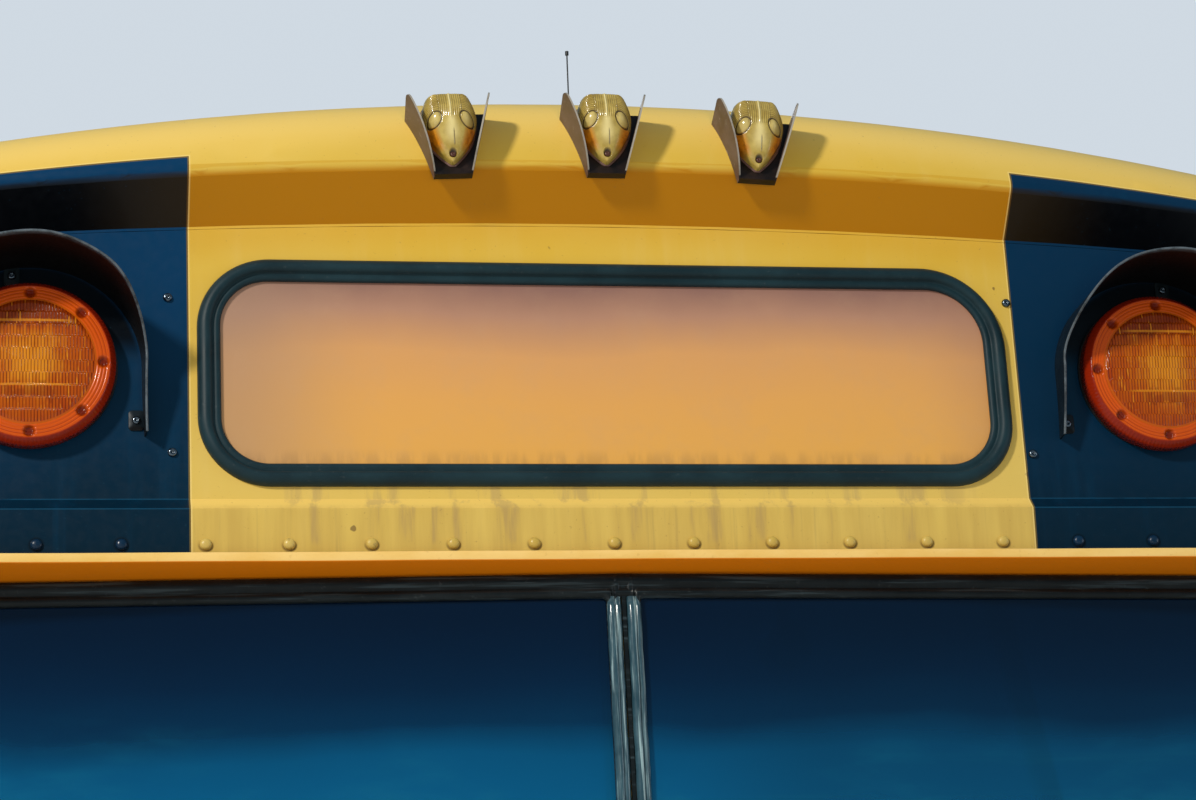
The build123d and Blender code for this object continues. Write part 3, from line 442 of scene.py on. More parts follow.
def lens_plastic(name, glow, middle, low_light, valley, ring, edge):
    """Moulded lens colour from each lamp's own disc: fluted middle with a painted glow of sunlight, ribbed
    ring, toothed rim.
    """
    t = Tree(name)
    across, up, share = t.add("ShaderNodeSeparateXYZ", Vector=t.attribute("disc", "Vector")).outputs
    row = t.math("FLOOR", t.math("DIVIDE", up, LENS_ROW))
    phase = t.plus(t.math("DIVIDE", across, LENS_FLUTE), t.times(t.math("FLOORED_MODULO", row, 2.0), 0.5))
    flute = t.size(t.math("SINE", t.times(phase, pi)))
    cell = t.add("ShaderNodeCombineXYZ", X=t.math("FLOOR", phase), Y=row).outputs[0]
    chance = t.add("ShaderNodeTexWhiteNoise", {"noise_dimensions": "3D"}, Vector=cell).outputs["Value"]
    place = t.add("ShaderNodeCombineXYZ", X=t.times(across, 210.0), Y=t.times(up, 34.0)).outputs[0]
    sparkle = t.noise(1.0, 3, 0.6, place)
    mid, ring_edge = LENS_MID / LENS_R, LENS_RING / LENS_R
    inside = t.step(share, mid + 0.01, mid - 0.01)
    blotch = t.times(t.minus(t.noise(34, 4, 0.6), 0.5), 0.55)
    spread = t.plus(t.plus(share, blotch), t.times(t.minus(chance, 0.5), 0.14))
    # painted light: the middle glows brightest and fades towards the edge
    t.colour = t.ramp(spread, [(0.0, glow), (0.1, glow), (0.46, middle), (0.9, low_light)])
    # the hood's shade falls on the top rows, and a dark row runs under the lower bright line
    high = t.plus(up, t.times(t.minus(chance, 0.5), 0.01))
    shade = t.times(inside, t.step(high, 0.036, 0.044))
    foot = t.times(inside, t.band(high, -0.043, -0.03, 0.003), t.step(t.size(across), 0.036, 0.024))
    t.coat(valley, t.math("MAXIMUM", t.times(shade, 0.62), t.times(foot, 0.35)))
    # painted shade in the flutes' valleys, painted glints on their crests
    t.coat(valley, inside, t.step(flute, 0.78, 0.14), t.step(chance, 0.1, 0.8, 0.6, 0.92))
    t.coat(glow, inside, t.step(sparkle, 0.56, 0.66), t.step(flute, 0.66, 0.92), 0.85)
    # painted highlight: two bright lines across the middle
    for height in LENS_BRIGHT:
        line = t.times(inside, t.band(up, height - 0.0009, height + 0.0009, 0.0009),
                       t.step(t.size(across), 0.052, 0.03))
        t.coat(glow, line, 0.75)
    ribs = t.size(t.math("SINE", t.times(share, LENS_R * pi / LENS_RIB)))
    rings = t.mix(t.times(t.step(ribs, 0.5, 0.1), t.step(share, 0.8, 0.86), 0.7), ring, edge)
    t.coat(rings, t.step(share, mid - 0.004, mid + 0.004))
    t.coat(middle, t.band(share, mid + 0.004, mid + 0.02, 0.006), 0.8)
    t.coat(edge, t.step(share, ring_edge - 0.004, ring_edge + 0.008))
    t.coat(tuple(c * 0.45 for c in edge), t.attribute("dimple"))
    height = t.times(inside, t.plus(flute, t.times(chance, 0.6)))
    # faint painted glow in its own colour, though the lamp is not lit
    return t.set(Roughness=t.step(t.noise(120, 3, 0.6), 0.3, 0.8, 0.16, 0.3), Specular_IOR_Level=0.22,
                 Coat_Weight=0.1, Coat_Roughness=0.08, IOR=1.49, Emission_Color=t.colour,
                 Emission_Strength=0.03, Normal=t.bump(height, 0.0009, 0.6))


def marker_plastic(name):
    """Gold lens of the marker lamps: amber in the cheeks, paler along the bridge and in the eyes as painted
    highlight, and painted shade in the grooves round the eyes.
    """
    t = Tree(name)
    cheek = t.attribute("cheek")
    dark = t.attribute("dark")
    lit = t.attribute("lit")
    cloud = t.noise(70, 5, 0.65)
    t.colour = t.mix(t.step(cloud, 0.3, 0.7), (0.34, 0.235, 0.042), (0.5, 0.37, 0.085))
    t.coat((0.62, 0.21, 0.006), cheek)
    t.coat((0.26, 0.085, 0.004), cheek, t.step(cloud, 0.42, 0.6), 0.7)
    # painted highlight where the lens is marked lit: ridge, bridge and eyes
    t.coat((0.78, 0.66, 0.3), lit)
    # painted shade in the grooves and in the screw's dish
    t.coat((0.04, 0.02, 0.004), dark)
    # faint painted glow in its own colour, though the lamp is not lit
    return t.set(Roughness=t.step(cloud, 0.3, 0.8, 0.14, 0.28), Specular_IOR_Level=0.5, Coat_Weight=0.5,
                 Coat_Roughness=0.06, IOR=1.49, Emission_Color=t.colour, Emission_Strength=0.03,
                 Normal=t.bump(t.noise(260, 3, 0.6), 0.0003, 0.3))


def bracket_paint(name):
    """Steel of the marker lamps' guards: mauve-brown leaves with pale edges in a patchy painted highlight,
    black base plates.
    """
    t = Tree(name)
    x, y, z = t.xyz()
    turned_away = t.size(t.facing()["X"])
    drop = t.times(x, x, 0.5 / (CROWN_R - ROLL_R))
    up = t.plus(t.minus(z, TOP_Z - ROLL_R + ROLL_R * sin(MARKER_TILT)), drop)
    ahead = t.minus(BROW_Y + ROLL_R * (1 - cos(MARKER_TILT)), y)
    out = t.plus(t.times(ahead, cos(MARKER_TILT)), t.times(up, sin(MARKER_TILT)))
    cloud = t.noise(46, 5, 0.65)
    leaf = t.mix(t.step(cloud, 0.3, 0.7), (0.085, 0.05, 0.036), (0.15, 0.1, 0.078))
    leaf = t.mix(t.step(t.noise(120, 4, 0.7), 0.6, 0.7), leaf, (0.24, 0.19, 0.16))
    base = t.mix(t.step(cloud, 0.35, 0.7), (0.006, 0.0035, 0.003), (0.02, 0.01, 0.008))
    t.colour = t.mix(t.step(turned_away, 0.45, 0.65), base, leaf)
    # painted highlight: pale along the leaves' outer edges, in patches
    edge = t.times(t.step(turned_away, 0.6, 0.4), t.step(out, 0.0045, 0.006))
    t.coat((0.34, 0.31, 0.27), edge, t.step(cloud, 0.25, 0.55, 0.5, 1.0))
    return t.set(Roughness=t.step(cloud, 0.25, 0.8, 0.34, 0.52), Specular_IOR_Level=0.3,
                 Normal=t.bump(t.noise(240, 3, 0.6), 0.0004, 0.25))


def hood_paint(name):
    """Satin black sheet with painted shade on the faces turned down inside the arch, pale along its beaded
    edge from wear and painted highlight.
    """
    t = Tree(name)
    cloud = t.noise(30, 5, 0.65)
    rub = t.step(t.noise(55, 4, 0.7), 0.3, 0.62, 0.25, 1.0)
    t.colour = t.mix(t.step(cloud, 0.3, 0.7), (0.003, 0.0065, 0.01), (0.007, 0.013, 0.019))
    # painted shade on the faces turned down
    t.coat((0.0026, 0.0022, 0.0022), t.step(t.facing()["Z"], 0.05, -0.15))
    # pale along the bead: wear and painted highlight
    t.coat((0.105, 0.13, 0.155), t.attribute("worn"), rub)
    grit = t.noise(260, 3, 0.6)
    return t.set(Roughness=t.step(grit, 0.25, 0.8, 0.3, 0.48), Specular_IOR_Level=0.22,
                 Normal=t.bump(grit, 0.0003, 0.2))


def bright_metal(name, colour, rough, grain):
    """Brushed metal with dull spots."""
    t = Tree(name)
    t.colour = colour
    lines = t.noise(1.0, 3, 0.5, t.stretched(grain, grain, grain / 40))
    t.coat(tuple(c * 0.5 for c in colour), t.step(t.noise(40, 5, 0.6), 0.6, 0.75), 0.5)
    return t.set(Metallic=1.0, Roughness=t.step(lines, 0.25, 0.8, rough - 0.06, rough + 0.14),
                 Normal=t.bump(lines, 0.0002, 0.2))


# Mesh helpers

def placed(name, data):
    """A new object in the scene."""
    made = bpy.data.objects.new(name, data)
    bpy.context.scene.collection.objects.link(made)
    return made


def piece(name, points, faces, finish, place=None, body=BODY, crease=None):
    """A new mesh that rides on a body, sharp where it turns by more than the crease."""
    mesh = bpy.data.meshes.new(name)
    mesh.from_pydata([tuple(p) for p in points], [], faces)
    if place:
        mesh.transform(place)
    mesh.update()
    mesh.shade_smooth()
    if crease:
        mesh.set_sharp_from_angle(angle=radians(crease))
    made = placed(name, mesh)
    mesh.materials.append(finish)
    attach(made, body)
    return made


def dress(node, finish):
    """Give a carried-over solid its finish."""
    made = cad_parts[node]
    made.data.materials.clear()
    made.data.materials.append(finish)


def record_values(made, name, values, kind="FLOAT"):
    """Store one value, or one vector, for each point of a mesh."""
    data = made.data.attributes.new(name, kind, "POINT").data
    if kind == "FLOAT":
        data.foreach_set("value", values)
    else:
        data.foreach_set("vector", [number for vector in values for number in vector])


def grid_faces(rows, columns, closed_rows=False, closed_columns=True, capped=False):
    """Quads between rows of points laid one after another, and faces over the end rows if capped."""
    faces = []
    for i in range(rows if closed_rows else rows - 1):
        row, further = i * columns, (i + 1) % rows * columns
        for j in range(columns if closed_columns else columns - 1):
            k = (j + 1) % columns
            faces.append((row + j, row + k, further + k, further + j))
    if capped:
        faces += [tuple(range(columns)), tuple(reversed(range((rows - 1) * columns, rows * columns)))]
    return faces


def part_way(value, start, end):
    """How far a value has come from start to end, nought before and one beyond."""
    return min(1.0, max(0.0, (value - start) / (end - start)))


def rounded_loop(x0, x1, z0, z1, radii, corner=14, edge=6):
    """Points round a rectangle, from the corner x1, z0 by x1, z1, each corner with its own radius."""
    points = []
    corners = [(x1, z0, -1, 1, -90), (x1, z1, -1, -1, 0), (x0, z1, 1, -1, 90), (x0, z0, 1, 1, 180)]
    spots = [(x + dx * r, z + dz * r, start, r) for (x, z, dx, dz, start), r in zip(corners, radii)]
    for number, (cx, cz, start, r) in enumerate(spots):
        angles = [radians(start + 90 * k / corner) for k in range(corner + 1)]
        turn = [(cx + r * cos(angle), cz + r * sin(angle)) for angle in angles]
        points += turn
        nx, nz, begin, nr = spots[(number + 1) % 4]
        goal = (nx + nr * cos(radians(begin)), nz + nr * sin(radians(begin)))
        points += [tuple(a + (b - a) * k / edge for a, b in zip(turn[-1], goal)) for k in range(1, edge)]
    return points


def lip_ring(name, outer, inner, section, place, finish, full=lambda point: 1.0):
    """Moulding between two loops. The section gives the share of the way inwards and the height."""
    points = [(o[0] + (i[0] - o[0]) * share, o[1] + (i[1] - o[1]) * share, height * full(o))
              for share, height in section for o, i in zip(outer, inner)]
    faces = grid_faces(len(section), len(outer), closed_rows=True)
    return piece(name, points, faces, finish, place=place)


def turned(section, sides):
    """Points and faces of a section of radius and height turned about Z."""
    points = [(r * cos(2 * pi * k / sides), r * sin(2 * pi * k / sides), h)
              for r, h in section for k in range(sides)]
    return points, grid_faces(len(section), sides)


def scattered(name, shape, places, finish, body=BODY):
    """One mesh of the same shape at many places."""
    points, faces = [], []
    for place in places:
        start = len(points)
        points += [place @ Vector(p) for p in shape[0]]
        faces += [tuple(start + i for i in face) for face in shape[1]]
    return piece(name, points, faces, finish, body=body)


# Fasteners, with the radius and height of each one's head

FLANGE_RIVET = (0.0066, 0.0046)
ROOF_RIVET = (0.005, 0.0022)
PANEL_SCREW = (0.0052, 0.004)
HOOD_SCREW = (0.0048, 0.0034)
NOSE_SCREW = (0.0034, 0.002)
INSIDE_SCREW = (0.0055, 0.0032)
DOME = ((1.0, 0.0), (0.98, 0.24), (0.88, 0.58), (0.66, 0.84), (0.36, 0.97), (0.0, 1.0))
PAN = ((1.0, 0.0), (0.98, 0.4), (0.82, 0.85), (0.5, 1.0), (0.34, 0.96), (0.28, 0.55), (0.0, 0.5))
PANEL_SPOTS = ((-0.502, 0.286), (-0.498, 0.106), (0.477, 0.291), (0.492, 0.106),
               (-1.062, 0.11), (-1.062, 0.23), (1.062, 0.11), (1.062, 0.23))


def head_shape(profile, size, sides):
    """Head of a fastener, its foot just under the surface."""
    r, h = size
    return turned([(max(r * out, 0.00001), h * up or -0.0004) for out, up in profile], sides)


def flange_rivets(yellow, black):
    """The row over the windscreen, painted with the panels it holds."""
    row = [RIVET_X0 + RIVET_PITCH * k for k in range(-11, 12)]
    for colour, finish in (("yellow", yellow), ("black", black)):
        spots = [x for x in row if (abs(x) < BLACK_INNER) == (colour == "yellow")]
        places = [frame_at((x, FLANGE_Y, RIVET_Z), (1, 0, 0), (0, 0, 1)) for x in spots]
        scattered(f"rivets_{colour}", head_shape(DOME, FLANGE_RIVET, 24), places, finish)


def roof_rivets(yellow):
    """Rows over the two roof bows."""
    places = [on_roof(-0.9 + 0.05 * k, y) for y in ROOF_ROWS for k in range(37)]
    scattered("rivets_roof", head_shape(DOME, ROOF_RIVET, 24), places, yellow)


def panel_screws(finish):
    """Screws along the edges of the black panels."""
    places = [on_face(x, RIVET_Z + z) for x, z in PANEL_SPOTS]
    scattered("panel_screws", head_shape(PAN, PANEL_SCREW, 20), places, finish)


def hood_screws(finish):
    """Screws through the tabs of each hood."""
    places = [on_face(side * x, LAMP_Z) @ Matrix.Translation((dx, dy, HOOD_TAB_T - 0.0001))
              for x in LAMPS_X.values() for side in (-1, 1) for dx, dy in hood_tabs(side)]
    scattered("hood_screws", head_shape(PAN, HOOD_SCREW, 20), places, finish)


# Hoods

HOOD_R = 0.1185             # height of the arch at the header
HOOD_HALF_W = 0.1225        # its half width there
HOOD_SPLAY = 0.0025         # legs stand this much further apart at their ends
HOOD_FLARE = 0.0035
HOOD_LEG = 0.078
HOOD_REACH = 0.106
HOOD_LEG_REACH = 0.043
HOOD_TIP_REACH = 0.021
HOOD_SWEEP = (0.008, 0.09)      # heights between which the edge sweeps forward
HOOD_HALF_T = 0.0009
HOOD_BEAD = 0.0014
HOOD_TAB_X, HOOD_TAB_Y = 0.1155, -0.06
HOOD_TOP_TAB = (0.0205, 0.107)
HOOD_TAB_SIZE = (0.0085, 0.0115)
HOOD_TAB_T = 0.0021


def hood_tabs(side):
    """Middles of a hood's three screw tabs, the top one towards the bus's side."""
    return (-HOOD_TAB_X, HOOD_TAB_Y), (HOOD_TAB_X, HOOD_TAB_Y), (side * HOOD_TOP_TAB[0], HOOD_TOP_TAB[1])


def hood_reach(height):
    """How far the hood stands out from the header at a height over the lamp's middle."""
    if height <= 0:
        return HOOD_LEG_REACH + (HOOD_LEG_REACH - HOOD_TIP_REACH) * height / HOOD_LEG
    share = part_way(height, *HOOD_SWEEP)
    return HOOD_LEG_REACH + (HOOD_REACH - HOOD_LEG_REACH) * share * share * (3 - 2 * share)


def hood_stations():
    """Points of the hood's foot on the header, each with the way outwards: up one leg, over and down."""
    legs = [(HOOD_HALF_W + HOOD_SPLAY * (1 - k / 18) ** 2, -HOOD_LEG * (1 - k / 18)) for k in range(18)]
    spots = [(w, h, 1.0, 0.0) for w, h in legs]
    turns = [pi * k / 72 for k in range(73)]
    spots += [(HOOD_HALF_W * cos(a), HOOD_R * sin(a), cos(a), sin(a)) for a in turns]
    return spots + [(-w, h, -1.0, 0.0) for w, h in reversed(legs)]


def lamp_hood(node, x, finish):
    """Thin rolled visor with a beaded front edge and three screw tabs."""
    depth = 12
    bead = [(HOOD_BEAD * cos(radians(a)), HOOD_BEAD * sin(radians(a))) for a in range(110, -111, -22)]
    points, worn = [], []
    stations = hood_stations()
    for w, h, nx, nh in stations:
        reach = hood_reach(h) * (1 + 0.012 * sin(9.0 * w / HOOD_R))
        flare = HOOD_FLARE * min(1.0, reach / HOOD_LEG_REACH)
        sheet = [(HOOD_HALF_T, k / depth) for k in range(depth + 1)]
        rows = [(off + flare * share, reach * share) for off, share in sheet]
        rows += [(flare + side, reach + out) for out, side in bead]
        rows += [(flare * share - off, reach * share) for off, share in reversed(sheet)]
        for off, out in rows:
            points.append((w + nx * off, h + nh * off, 0.0004 + out))
        # the bead is marked for its pale colour: wear and painted highlight
        worn += [0.0] * depth + [1.0] * (len(bead) + 2) + [0.0] * depth
    columns = len(points) // len(stations)
    faces = grid_faces(len(stations), columns, capped=True)
    half_w, half_h = HOOD_TAB_SIZE
    loop = rounded_loop(-half_w, half_w, -half_h, half_h, [0.004] * 4, 6, 3)
    levels = ((1.0, 0.0003), (1.0, HOOD_TAB_T - 0.0004), (0.94, HOOD_TAB_T), (0.001, HOOD_TAB_T))
    for px, py in hood_tabs(1 if x > 0 else -1):
        start = len(points)
        faces += [tuple(start + i for i in face) for face in grid_faces(len(levels), len(loop))]
        points += [(px + share * u, py + share * v, level) for share, level in levels for u, v in loop]
    worn += [0.0] * (len(points) - len(worn))
    made = piece(f"{node}_sheet", points, faces, finish, place=on_face(x, LAMP_Z), crease=50)
    record_values(made, "worn", worn)
    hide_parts(node)


# Lamps

LENS_R = 0.0936
LENS_MID = 0.0702
LENS_RING = 0.0866
LENS_DIMPLE = (0.0796, 0.006)   # radius of their ring, and their size
LENS_DENT = 0.0042          # their depth
LENS_BASE = 0.0035
LENS_FLAT = 0.0263          # ring's face above the header
LENS_DOME = 0.031
LENS_FALL = 0.003           # from the middle to the middle's edge
LENS_RELIEF = (0.0008, 0.001)   # height of the flutes and of each row's sill
LENS_TOOTH = 0.001
LENS_RIM = 0.0085           # fall of the toothed rim
LENS_ROW = 0.014            # rows of flutes
LENS_FLUTE = 0.0035         # flutes across a row
LENS_RIB = 0.0036           # ribs of the ring
# heights of the two painted highlight lines
LENS_BRIGHT = (0.046, -0.028)
LENS_SIDES = 384


def lens_height(x, y):
    """Height of the moulded face: fluted middle, ribbed ring with eight dimples, toothed rim."""
    r = hypot(x, y)
    if r < LENS_MID:
        row = int((y + 10 * LENS_ROW) // LENS_ROW)
        flute = abs(sin(pi * (x / LENS_FLUTE + 0.5 * (row % 2))))
        sill = ((y + 10 * LENS_ROW) % LENS_ROW) / LENS_ROW
        edge = min(1, (LENS_MID - r) / 0.004)
        relief = LENS_RELIEF[0] * flute + LENS_RELIEF[1] * sill
        return LENS_DOME - LENS_FALL * (r / LENS_MID) ** 2 + edge * relief
    if r < LENS_RING:
        share = (r - LENS_MID) / (LENS_RING - LENS_MID)
        rib = 0.00035 * cos(2 * pi * (r - LENS_MID) / LENS_RIB) * (1 if y < 0 else 0.4)
        return LENS_FLAT + 0.001 - 0.0016 * share + rib - LENS_DENT * lens_dimple(x, y)
    return LENS_FLAT - LENS_RIM * ((r - LENS_RING) / (LENS_R - LENS_RING)) ** 1.4


def lens_dimple(x, y):
    """One in the eight dimples of the ring, nought elsewhere."""
    ring, size = LENS_DIMPLE
    r = hypot(x, y)
    angle = (degrees(atan2(y, x)) + 22.5) % 45 - 22.5
    return exp(-(hypot(r - ring, radians(angle) * r) / size) ** 6)


def lamp_lens(node, finish, x):
    """Detailed lens in place of the solid's plain one."""
    radii = [0.0004] + [LENS_MID * k / 56 for k in range(1, 56)]
    radii += [LENS_MID - 0.0003, LENS_MID + 0.0002]
    radii += [LENS_MID + (LENS_RING - LENS_MID) * k / 24 for k in range(1, 25)]
    radii += [LENS_RING + (LENS_R - LENS_RING) * share for share in (0.12, 0.3, 0.5, 0.7, 0.88, 0.97)]
    walls = ((LENS_R, 0.015), (LENS_R, LENS_BASE), (LENS_R - 0.003, LENS_BASE))
    points, disc, dimples = [], [], []
    for r, level in [(r, None) for r in radii] + list(walls):
        for k in range(LENS_SIDES):
            tooth = LENS_TOOTH * (k % 3 < 1) * (LENS_RING + 0.002 < r)
            reach = r - tooth * (level is not None and level > LENS_BASE)
            px, py = reach * cos(2 * pi * k / LENS_SIDES), reach * sin(2 * pi * k / LENS_SIDES)
            height = level if level is not None else lens_height(px, py) - tooth
            points.append((px, py, height))
            disc.append((px, py, r / LENS_R))
            dimples.append(0.9 * lens_dimple(px, py) if LENS_MID < r else 0.0)
    made = piece(f"{node}_moulded", points, grid_faces(len(radii) + len(walls), LENS_SIDES), finish,
                 place=on_face(x, LAMP_Z))
    record_values(made, "disc", disc, "FLOAT_VECTOR")
    record_values(made, "dimple", dimples)
    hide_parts(node)


# Marker lamps

MARKER_FOOT = 0.0031        # lens's seat above the brow's tangent plane
NOSE_Y, CROWN_Y, WIDE_Y = -0.0305, 0.048, 0.024
WIDE_HALF, CROWN_HALF, NOSE_HALF = 0.0325, 0.0262, 0.0012
EYE_X, EYE_Y = 0.0185, 0.015
EYE_R = (0.0062, 0.0084)
EYE_LEAN = radians(34)      # the eyes' tops lean to the middle
EYE_RING = 1.3              # outer edge of the groove round an eye, in eyes
EYE_WAVE = 0.34             # from ring to ring outside it
NOSE_RISE, BRIDGE_RISE = 0.0085, 0.0245
SCREW_Y, SCREW_DISH = -0.0222, 0.005
GROOVE_X = 0.0024           # beside the ridge, and from rib to rib at the crown


def marker_half(y):
    """Half width of the lens along its length: pointed nose, widest over the eyes."""
    if y > WIDE_Y:
        return WIDE_HALF - (WIDE_HALF - CROWN_HALF) * ((y - WIDE_Y) / (CROWN_Y - WIDE_Y)) ** 1.5
    share = (WIDE_Y - y) / (WIDE_Y - NOSE_Y)
    return NOSE_HALF + (WIDE_HALF - NOSE_HALF) * max(0.0, 1 - share ** 1.75) ** 0.92


def marker_crest(y):
    """Height of the bridge along the length."""
    share = (y - NOSE_Y) / (CROWN_Y - NOSE_Y)
    rise = sin(min(1.0, share * 1.18) * pi / 2) ** 0.9
    return NOSE_RISE + BRIDGE_RISE * rise - 0.0025 * part_way(share, 0.8, 1.0)


def marker_relief(x, y):
    """Fine shape over the smooth lens, and how far the place is amber cheek, painted shade in a groove, or
    painted highlight.
    """
    side = abs(x)
    away, above = side - EYE_X, y - EYE_Y
    eye = hypot((away * cos(EYE_LEAN) + above * sin(EYE_LEAN)) / EYE_R[0],
                (above * cos(EYE_LEAN) - away * sin(EYE_LEAN)) / EYE_R[1])
    lift, dark, lit, cheek = 0.0, 0.0, 0.0, 0.0
    if eye < 1.0:
        lift = 0.0016 * (1 - eye ** 2) - 0.0002
        lit = 0.35 * (1 - eye) + 0.15
    elif eye < EYE_RING:
        groove = sin(pi * (eye - 1.0) / (EYE_RING - 1.0))
        lift = -0.0013 * groove
        dark = groove ** 0.7
    elif y > 0.01 and eye < 4.4 and side > 0.012:
        wave = cos(2 * pi * (eye - EYE_RING) / EYE_WAVE)
        lift = 0.0005 * wave
        dark = 0.55 * max(0.0, -wave)
    ridge = exp(-(x / 0.0012) ** 2) * part_way(y, 0.012, 0.02)
    lift += 0.0012 * ridge
    # the ridge's painted highlight spreads into a pale bridge between the eyes and fades on the way to the
    # nose
    spread = 0.003 + 0.0045 * part_way(y, 0.022, 0.002)
    bridge = exp(-(x / spread) ** 2) * part_way(y, 0.024, 0.014) * part_way(y, -0.016, -0.002)
    lit = max(lit, ridge, 0.8 * bridge)
    if y > 0.017 and side < 0.014:
        wave = cos(2 * pi * x / GROOVE_X)
        lift += 0.0003 * wave
        dark = max(dark, 0.5 * max(0.0, -wave) * (1 - ridge))
    grooved = part_way(y, 0.004, 0.0) * part_way(y, -0.016, -0.013)
    groove = exp(-((x - GROOVE_X) / 0.0006) ** 2) * grooved
    lift -= 0.0006 * groove
    dark = max(dark, 0.85 * groove)
    share = side / marker_half(y)
    if y < EYE_Y:
        cheek = part_way(share, 0.52, 0.82) * part_way(y, -0.02, -0.01)
        cheek *= part_way(y, 0.009, 0.005)
    near = hypot(x, y - SCREW_Y)
    lift -= 0.0032 * part_way(near, SCREW_DISH, SCREW_DISH - 0.0016)
    dark = max(dark, part_way(near, SCREW_DISH, SCREW_DISH - 0.0014) * (1.0 if y > SCREW_Y else 0.7))
    return lift, (cheek, min(1.0, dark), min(1.0, lit))


def marker_lens(name, x, finish, screw, rim_finish):
    """Moulded teardrop lens with two bull's-eyes, in place of the solid's plain one."""
    node = f"marker_lens_{name}"
    rows, columns = 150, 168
    points, tints = [], []
    for i in range(rows + 1):
        y = NOSE_Y + (CROWN_Y - NOSE_Y) * i / rows
        half, crest = marker_half(y), marker_crest(y)
        flank = min(0.01, crest * 0.5)
        flat = 2.1 + 3.0 * part_way(y, 0.008, 0.044)
        for j in range(columns + 1):
            turn = pi * j / columns
            px = -half * cos(turn)
            arch = max(0.0, 1 - abs(cos(turn)) ** flat) ** 0.62
            level = MARKER_FOOT + 0.0012 + (flank + (crest - flank) * arch) * min(1.0, 9 * sin(turn))
            lift, tint = marker_relief(px, y)
            points.append((px, y, level + lift))
            tints.append(tint)
    columns += 1
    faces = grid_faces(rows + 1, columns, closed_columns=False)
    for y_row, y in ((0, NOSE_Y), (rows, CROWN_Y)):
        start = len(points)
        for j in range(columns):
            px = points[y_row * columns + j][0]
            points.append((px, y, MARKER_FOOT))
            tints.append((tints[y_row * columns + j][0], 0.5, 0.0))
        for j in range(columns - 1):
            a = y_row * columns + j
            quad = (a, a + 1, start + j + 1, start + j)
            faces.append(quad if y_row else quad[::-1])
    made = piece(f"{node}_moulded", points, faces, finish, place=on_brow(x))
    for label, values in zip(("cheek", "dark", "lit"), zip(*tints)):
        record_values(made, label, values)
    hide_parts(node)
    head = on_brow(x) @ Matrix.Translation((0, SCREW_Y, MARKER_FOOT + marker_crest(SCREW_Y) - 0.0028))
    scattered(f"marker_screw_{name}", head_shape(PAN, NOSE_SCREW, 20), [head], screw)
    rim = [(marker_half(y), y) for y in [NOSE_Y + (CROWN_Y - NOSE_Y) * k / 60 for k in range(61)]]
    outline = rim + [(-half, y) for half, y in reversed(rim)]
    section = [(-0.0016, 0.0), (-0.0018, 0.0016), (-0.0008, 0.0024), (0.0006, 0.0022), (0.0008, 0.0)]
    seat = MARKER_FOOT - 0.0006
    points = [(px - (grow if px > 0 else -grow), y - 0.6 * abs(grow) * (y < 0), seat + height)
              for grow, height in section for px, y in outline]
    piece(f"marker_rim_{name}", points, grid_faces(len(section), len(outline)), rim_finish,
          place=on_brow(x))


# Rubber. Sections give the share of the way inwards and the height over the panel

SIGN_SECTION = [(0.0, 0.0003), (0.0, 0.003), (0.05, 0.0065), (0.16, 0.0098), (0.3, 0.0118),
                (0.42, 0.0121), (0.54, 0.0108), (0.62, 0.008), (0.66, 0.0052), (0.71, 0.005),
                (0.78, 0.006), (0.88, 0.006), (0.95, 0.0048), (1.0, 0.003), (1.0, 0.0003)]
SCREEN_SECTION = [(0.0, 0.0003), (0.0, 0.004), (0.06, 0.0066), (0.18, 0.0086), (0.34, 0.0089),
                  (0.46, 0.0074), (0.53, 0.005), (0.58, 0.0044), (0.64, 0.0062), (0.76, 0.0078),
                  (0.9, 0.0068), (1.0, 0.0034), (1.0, 0.0003)]
POST_SECTION = [(-1.0, 0.003), (-1.0, 0.0048), (-0.9, 0.0078), (-0.62, 0.01), (-0.28, 0.0106),
                (0.02, 0.01), (0.12, 0.0082), (0.19, 0.008), (0.3, 0.0094), (0.55, 0.0096),
                (0.8, 0.008), (1.0, 0.005), (1.0, 0.003)]
CAP_X = (-0.011, -0.006, 0.0, 0.006, 0.011)


def sign_rubber(finish):
    """Moulding round the sign, with a groove along its inner lip."""
    half_w, half_h = SIGN_HALF
    outer = rounded_loop(-half_w, half_w, -half_h, half_h, SIGN_CORNERS, 20, 30)
    inner = rounded_loop(-half_w + SIGN_RING, half_w - SIGN_RING, -half_h + SIGN_RING, half_h - SIGN_RING,
                         SIGN_INNER_CORNERS, 20, 30)
    made = lip_ring("sign_gasket_moulding", outer, inner, SIGN_SECTION, on_face(0, SIGN_Z), finish)
    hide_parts("sign_gasket")


def screen_rubber(side, name, finish):
    """Moulding round one pane, narrower where the two halves meet."""
    near, far = POST_GAP, GLASS_END + GASKET_W
    outer = rounded_loop(near, far, -GLASS_H - GASKET_W, GASKET_W, (0.012, 0.012, 0.004, 0.004), 12, 24)
    inner = rounded_loop(near + POST_STRIP, GLASS_END, -GLASS_H, 0.0, (0.045, 0.045, 0.005, 0.005), 12, 24)
    if side < 0:
        outer = [(-x, z) for x, z in reversed(outer)]
        inner = [(-x, z) for x, z in reversed(inner)]

    def full(point):
        """Lower along the post, where a strip covers it."""
        return 0.35 if abs(point[0]) < near + 0.001 and point[1] < 0.0 else 1.0

    node = f"windscreen_gasket_{name}"
    made = lip_ring(f"{node}_moulding", outer, inner, SCREEN_SECTION, on_screen(side), finish,
                    full)
    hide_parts(node)


